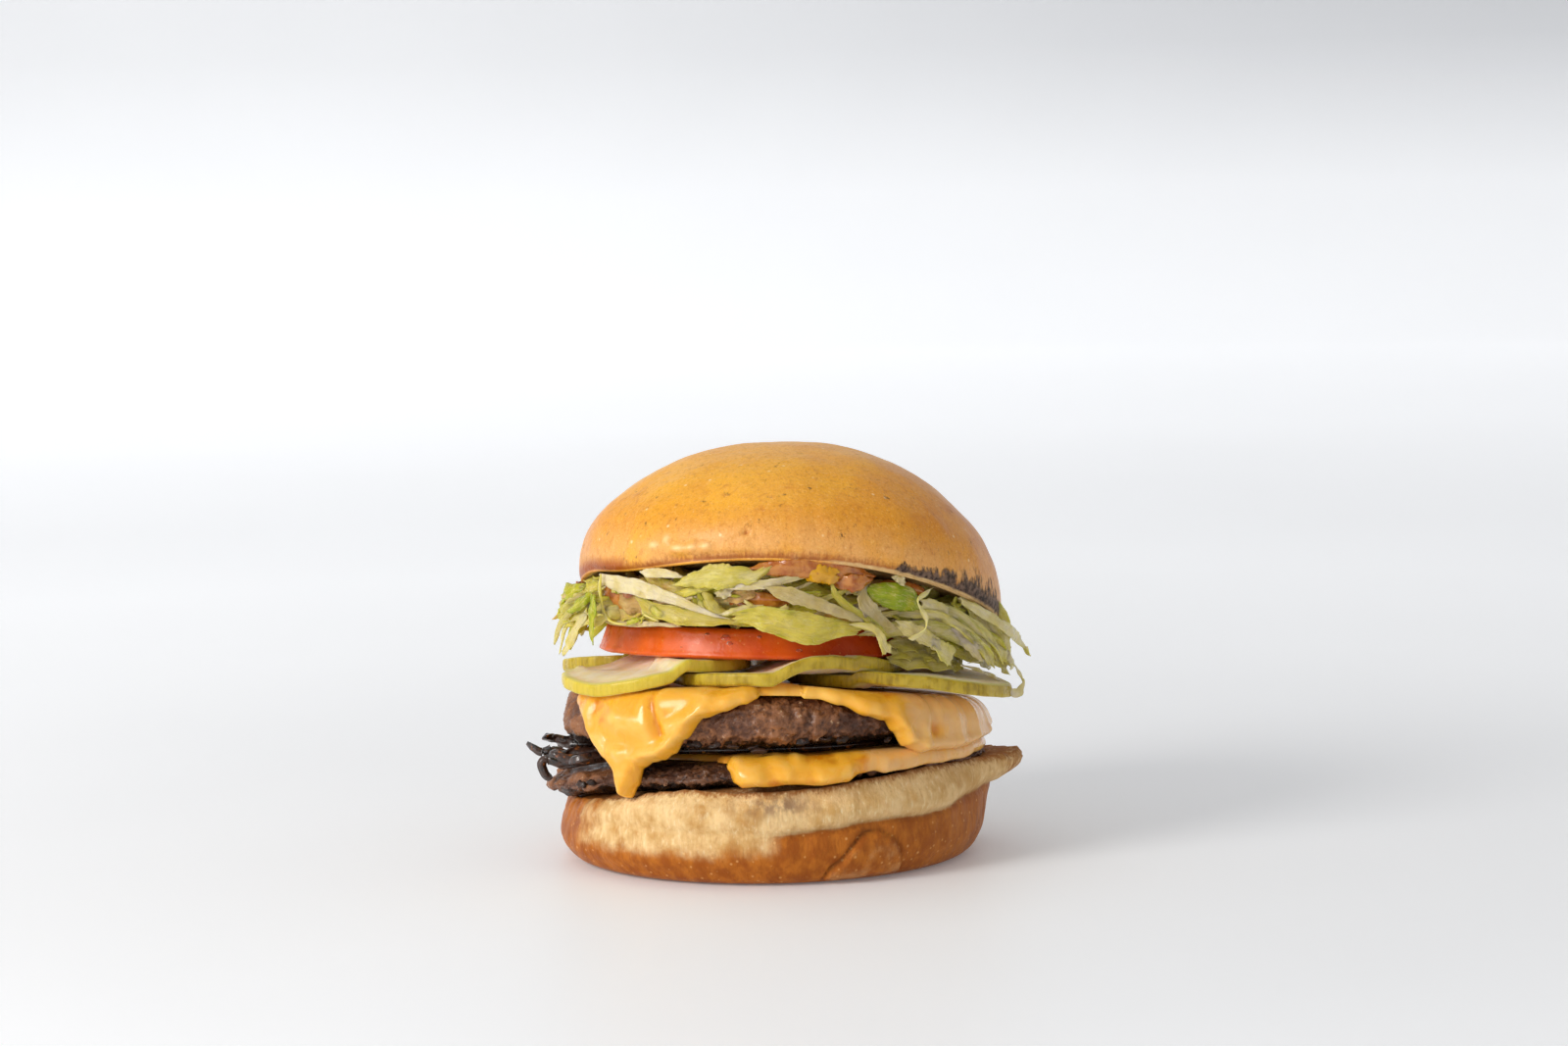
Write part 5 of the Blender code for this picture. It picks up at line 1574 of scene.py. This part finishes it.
def front_leaves():
    """The large leaves of the front, and short cut shreds between them."""
    heap = heaped(FRONT_LEAVES)
    rng = np.random.default_rng(12)
    for k in range(24):
        b = -57 + 4.6 * k + rng.uniform(-2, 2)
        low, top = tomato_top(*on_bearing(b, 42)) + 1.5, crown_rim(*on_bearing(b, 46)) - 2
        z = low + (top - low) * rng.uniform(0.05, 0.9)
        turn, rise, wide = rng.uniform(3, 9), rng.uniform(-5, 5), rng.uniform(0.7, 2.2)
        heap.leaf(
            ((b - turn, 47.5, z + rise / 2), (b, 50.0, z), (b + turn, 49.4, z - rise / 2)),
            (wide, wide, wide * 0.85), 700 + k, thick=rng.uniform(0.4, 1.0),
            green=rng.uniform(0.1, 1.0), white=0.8 * (k % 3 == 0), rows=24, across=7,
            tips=(0.9, 0.9), ruffle=0.15, jag=0.16, twist=rng.uniform(-40, 40),
        )
    return heap


def side_leaves():
    """The hanging mass at the right and the tuft at the left."""
    heap = heaped(SIDE_LEAVES)
    for seed, high, out in ((71, 55.6, 46.8), (72, 53.4, 48.0), (73, 51.6, 49.2)):
        heap.leaf(
            ((40, 44, high + 1.5), (50, out, high + 0.4), (62, out + 1, high - 1),
             (74, out - 1, high - 2)),
            (5.5, 6.5, 6.5, 4.5), seed, green=0.35, white=0.15, shade=0.2, rows=50, ruffle=0.8,
            waves=4, start=35,
        )
    shreds(heap, (38, 76), (16, 26), (66.5, 57), (56, 47.5), (56, 61), 26, 7)
    shreds(heap, (-50, -64), (-6, -14), (70, 64), (68, 56), (54, 57.5), 9, 8)
    return heap


def shreds(heap, bearings, sweep, tops, lows, reach, count, seed):
    """Thin drooping strips that spread out past the rim of the layers below."""
    rng = np.random.default_rng(seed)
    for k in range(count):
        b = bearings[0] + (bearings[1] - bearings[0]) * (k + rng.uniform(0, 1)) / count
        turn = rng.uniform(*sorted(sweep))
        share = rng.uniform(0, 1)
        top = tops[0] + (tops[1] - tops[0]) * rng.uniform(0, 1)
        low = min(top - 3, lows[0] + (lows[1] - lows[0]) * share)
        out = reach[0] + (reach[1] - reach[0]) * share
        stations = (
            (b - 0.4 * turn, 44, top - 1), (b, 50.5, top),
            (b + 0.4 * turn, (51 + out) / 2, top - 1.5),
            (b + 0.75 * turn, out - 0.8, (top + low) / 2 - 0.5), (b + turn, out, low),
        )
        wide = rng.uniform(1.4, 4.2)
        heap.leaf(
            stations, (wide * 0.8, wide, wide, wide * rng.uniform(0.3, 1.0)), 600 + 50 * seed + k,
            thick=rng.uniform(0.3, 0.6), ruffle=rng.uniform(0.1, 0.5), waves=rng.uniform(1.5, 4),
            twist=rng.uniform(-60, 60), start=rng.uniform(-30, 30), jag=rng.uniform(0.08, 0.2),
            green=rng.uniform(0.1, 0.7), white=rng.uniform(0, 0.6), rows=44, across=9, shade=0.16,
            tips=(0.5, rng.uniform(0.2, 0.8)),
        )


def filling_leaves(heap, start, end, seed, count):
    """Seeded shreds between the tomato and the crown, over a range of bearings."""
    rng = np.random.default_rng(seed)
    for k in range(count):
        b = start + (end - start) * (k + rng.uniform(0.1, 0.9)) / count
        hidden = abs((b + 180) % 360 - 180) > 88
        turn = rng.choice((-1, 1)) * rng.uniform(8, 20)
        wide = rng.uniform(2.4, 6.0)
        reach = rng.uniform(47, 54) if hidden else rng.uniform(42.5, 46.5)
        held_in = 78 < b < 114
        reach = min(reach, 48.0) if held_in else reach
        top = crown_rim(*on_bearing(b - turn, 46)) - wide / 2 - rng.uniform(0.2, 1.5)
        low = tomato_top(*on_bearing(b, 42)) + wide / 2 + 0.4
        level = rng.uniform(0.1, 0.95)
        middle = low + (top - low) * level
        droop = rng.uniform(0, 9) if hidden else rng.uniform(0, 3)
        further = rng.uniform(0, 4) if hidden else rng.uniform(-1, 1)
        tip = reach if held_in else reach + further
        stations = (
            (b - turn, 39.5, middle + rng.uniform(-1, 1)),
            (b - turn * 0.4, reach - 2.5, middle + 0.8),
            (b + turn * 0.3, reach, middle - droop * 0.25),
            (b + turn, tip, middle - droop),
        )
        pale = rng.uniform(0, 1) < 0.38
        heap.leaf(
            stations, (wide * 0.8, wide, wide * rng.uniform(0.4, 0.9)), seed * 100 + k,
            thick=rng.uniform(0.7, 1.2) if pale else rng.uniform(0.35, 0.6),
            cup=rng.uniform(-0.15, 0.15), ruffle=rng.uniform(0.2, 0.9),
            waves=rng.uniform(1.5, 4), twist=rng.uniform(-50, 50),
            jag=rng.uniform(0.06, 0.2), green=rng.uniform(0.15, 0.9),
            white=rng.uniform(0.5, 0.9) if pale else 0.0,
            rows=30, across=9, start=rng.uniform(-35, 35), stain=0.6 * (rng.uniform(0, 1) < 0.3),
        )
    return heap


def lettuce():
    look = leaf_look()
    lettuce_core()
    front_leaves().made("lettuce_leaves_front", look, "lettuce", "lettuce")
    side_leaves().made("lettuce_leaves_sides", look, "lettuce", "lettuce")
    filling_leaves(Heap(), -95, 95, 5, 90).made("lettuce_shreds_front", look, "lettuce", "lettuce")
    filling_leaves(Heap(), 88, 272, 6, 130).made("lettuce_shreds_back", look, "lettuce", "lettuce")


# ---- onion -------------------------------------------------------------------------------


def onion_look():
    look = Look(
        "charred_onion", Roughness=0.2, Subsurface_Weight=0.15, Subsurface_Scale=0.001,
        Coat_Weight=0.7, Coat_Roughness=0.08,
    )
    tone = look.noise(2.4, 3, 0.6, 0.6)
    base = look.mix(look.ease(tone, 0.4, 0.62), (18, 10, 7), (62, 32, 16))
    base = look.mix(look.ease(look.noise(1.6, 2), 0.62, 0.74), base, (150, 84, 26))
    look.drive(Base_Color=base, Roughness=look.ease(tone, 0.3, 0.7, 0.16, 0.5))
    look.drive(Normal=look.bump(look.noise(0.8, 3, 0.6), 0.22))
    return look.made


def onion():
    look = onion_look()
    p = slab(
        (0, 0), lambda b: 42.6 + 1.2 * np.sin(np.radians(5 * b)),
        lambda x, y: lower_patty_top(x, y) + 2 * GAP + SHEET, upper_patty_base,
        ((-0.6, 0.0), (0.0, 0.5), (-0.6, 1.0)), ONION_COLUMNS, 0.6,
    )
    closed_piece("onion_layer", p, {}, look, "charred_onion", "onion")
    heap = Heap()
    for k, (stations, widths) in enumerate((
        (((-79, 42, 27.6), (-80, 48, 26.8), (-81, 53, 26.4), (-82, 56.4, 27.2), (-82, 59.4, 27.0),
          (-82.5, 61.2, 28.0), (-83, 62.9, 29.4)), (3.4, 3.6, 3.4, 3.2, 2.6, 1.8, 0.8)),
        (((-74, 42, 26.6), (-75, 49, 25.8), (-77, 54.6, 24.8), (-78, 58.2, 25.8), (-78, 59.9, 24.8),
          (-78, 59.2, 22.4), (-78, 57.6, 20.6)), (3.0, 3.2, 2.8, 2.2, 1.8, 1.6, 0.9)),
        (((-86, 42, 28.4), (-87, 48, 28.4), (-88, 53, 28.6), (-88, 56.6, 29.8), (-86, 58.4, 30.2)),
         (3.0, 3.4, 3.0, 2.4, 1.6)),
        (((-68, 42, 27.0), (-69, 48, 26.6), (-71, 54, 26.6), (-73, 57.2, 27.8), (-75, 58.0, 27.6)),
         (3.0, 3.4, 3.0, 2.4, 1.4)),
        (((-62, 42, 28.2), (-62, 48, 28.0), (-63, 53.6, 27.6), (-66, 55.6, 27.0)),
         (2.6, 3.0, 2.6, 1.6)),
        (((-92, 42, 29.6), (-94, 49, 29.0), (-97, 54, 27.4), (-98, 56, 25.8)),
         (3.0, 3.0, 2.4, 1.4)),
    )):
        heap.leaf(
            stations, widths, 90 + k, thick=1.4, rib=1.0, ruffle=0.25, waves=1.5, cup=0.12,
            twist=70 - 140 * (k % 2), start=40 * k, jag=0.05, rows=44, across=10,
            tips=(0.8, 0.4), crisp=0.15,
        )
    heap.made("onion_strands", look, "charred_onion", "onion")


# ---- sauce, char and drops -----------------------------------------------------------------


def sauce():
    look = Look(
        "burger_sauce", Roughness=0.18, Subsurface_Weight=0.1, Subsurface_Scale=0.0015,
        Subsurface_Radius=(1.0, 0.4, 0.1), Coat_Weight=0.4, Coat_Roughness=0.1,
    )
    tone = look.noise(3.4, 3, 0.6, 0.5)
    base = look.mix(look.ease(tone, 0.38, 0.62), (164, 84, 14), (192, 122, 48))
    base = look.over(
        base,
        (look.ease(look.mask("green"), 0.55, 0.75), (204, 146, 2)),
        (look.ease(look.noise(1.2, 3), 0.6, 0.75, 0, 0.6), (150, 70, 26)),
    )
    look.drive(Base_Color=base, Normal=look.bump(look.noise(1.6, 3), 0.25))
    heap = Heap()
    for k, (stations, widths, yellow) in enumerate((
        (((-6, 49.5, 77.0), (6, 51.2, 77.2), (18, 51.6, 76.0), (30, 50.5, 74.0)),
         (2.6, 4.6, 4.2, 2.4), 0.2),
        (((8, 50.5, 76.4), (13, 52.0, 75.6), (19, 52.0, 74.8)), (2.6, 4.6, 3.4), 1.0),
        (((16, 49.5, 73.6), (22, 52.4, 73.0), (28, 51.5, 73.4)), (2.0, 4.2, 2.4), 0.2),
        (((-64, 44, 69.6), (-56, 48.6, 69.2), (-47, 48.2, 67.6), (-40, 45, 66.6)),
         (3.0, 5.2, 5.6, 3.0), 0.1),
        (((-58, 46, 65.6), (-52, 48.0, 65.2), (-45, 47, 64.4)), (2.6, 4.2, 2.6), 0.1),
        (((-16, 44, 69.4), (-8, 48, 69.6), (1, 49, 69.4), (8, 46, 69)), (2.4, 3.6, 3.2, 2.0), 0.3),
        (((34, 47, 72), (42, 50.6, 70.2), (49, 50.4, 68.4)), (1.8, 2.8, 1.8), 0.2),
        (((120, 47, 62), (135, 50.5, 62.4), (150, 48, 63)), (2.4, 4.2, 2.4), 0.2),
        (((196, 47, 61), (210, 50.2, 61.6), (222, 48, 62.6)), (2.4, 4.4, 2.6), 0.2),
        (((250, 46, 66), (262, 49.6, 66.6), (274, 47, 67)), (2.4, 4.0, 2.4), 0.2),
        # A smear under the tomato's front closes the gap above the pickles and stands in for the
        # shade there: painted shade.
        (((-50, 33, 52.2), (-25, 30, 53.6), (0, 29, 54.6), (30, 32, 54.6)),
         (3.0, 4.6, 4.6, 3.0), 0.1),
    )):
        heap.leaf(
            stations, widths, 300 + k, thick=0.7, rib=0.7, ruffle=0.25, jag=0.22, green=yellow,
            rows=44, across=10, tips=(0.25, 0.25),
        )
    heap.made("sauce_smears", look.made, "cheese")


def char_crumbs(look):
    """Small burnt lumps along the seams of the patties."""
    rng = np.random.default_rng(77)
    heap = Heap()
    places = [
        (-11, 34.2), (-5.5, 33.8), (-4, 33.2), (8, 35.0), (14.5, 35.2), (19, 35.0), (33, 33.8),
        (-57, 22.6), (-61, 21.8), (-22, 34.6), (-28, 33.8), (-16, 34.4),
    ]
    places += [(rng.uniform(100, 250), rng.uniform(20.6, 24.4)) for _ in range(20)]
    for k, (b, z) in enumerate(places):
        reach = (upper_radius(b) if z > 31 else lower_radius(b)) + rng.uniform(-1.3, -0.4)
        long, wide = rng.uniform(0.8, 2.2), rng.uniform(0.9, 1.9)
        heap.leaf(
            ((b - long, reach - 0.5, z + rng.uniform(-0.4, 0.4)), (b, reach, z),
             (b + long, reach - 0.4, z + rng.uniform(-0.6, 0.6))),
            (wide, wide * 0.9), 400 + k, thick=0.7, rib=1.3, ruffle=0.25, jag=0.3, rows=12,
            across=7, tips=(0.3, 0.3), twist=rng.uniform(-60, 60), crisp=0.3,
        )
    heap.made("char_crumbs", look, "beef")


def drops():
    """Beads of juice on the tomato's side."""
    look = Look("juice_drop", Roughness=0.03, IOR=1.34, Transmission_Weight=0.85)
    look.drive(Base_Color=look.mix(look.noise(2, 2), (250, 200, 170), (240, 150, 110)))
    heap = Heap()
    for k, (b, share, wide) in enumerate((
        (-15.5, 0.68, 1.5), (-14.0, 0.5, 1.0), (-22, 0.8, 0.7), (-4, 0.75, 0.6), (-31, 0.35, 0.6),
        (9, 0.3, 0.8), (-50, 0.6, 0.5), (120, 0.6, 1.2), (165, 0.4, 0.9), (230, 0.7, 1.0),
    )):
        reach = TOMATO_RADIUS - 0.3 - 1.9 * share
        x, y = on_bearing(b, reach)
        z = tomato_base(x, y) * (1 - share) + tomato_top(x, y) * share
        turn = wide * 1.1
        heap.leaf(
            ((b - turn, reach - 0.25, z), (b, reach, z - 0.1), (b + turn, reach - 0.25, z)),
            (wide, wide * 1.3, wide), 500 + k, thick=0.1, rib=0.9, ruffle=0, jag=0.02, rows=14,
            across=9, tips=(0.15, 0.15), crisp=0.0,
        )
    heap.made("tomato_drops", look.made, "tomato")


camera()
studio()
crown()
heel()
patties()
cheeses()
pickles()
tomato()
lettuce()
onion()
sauce()
drops()
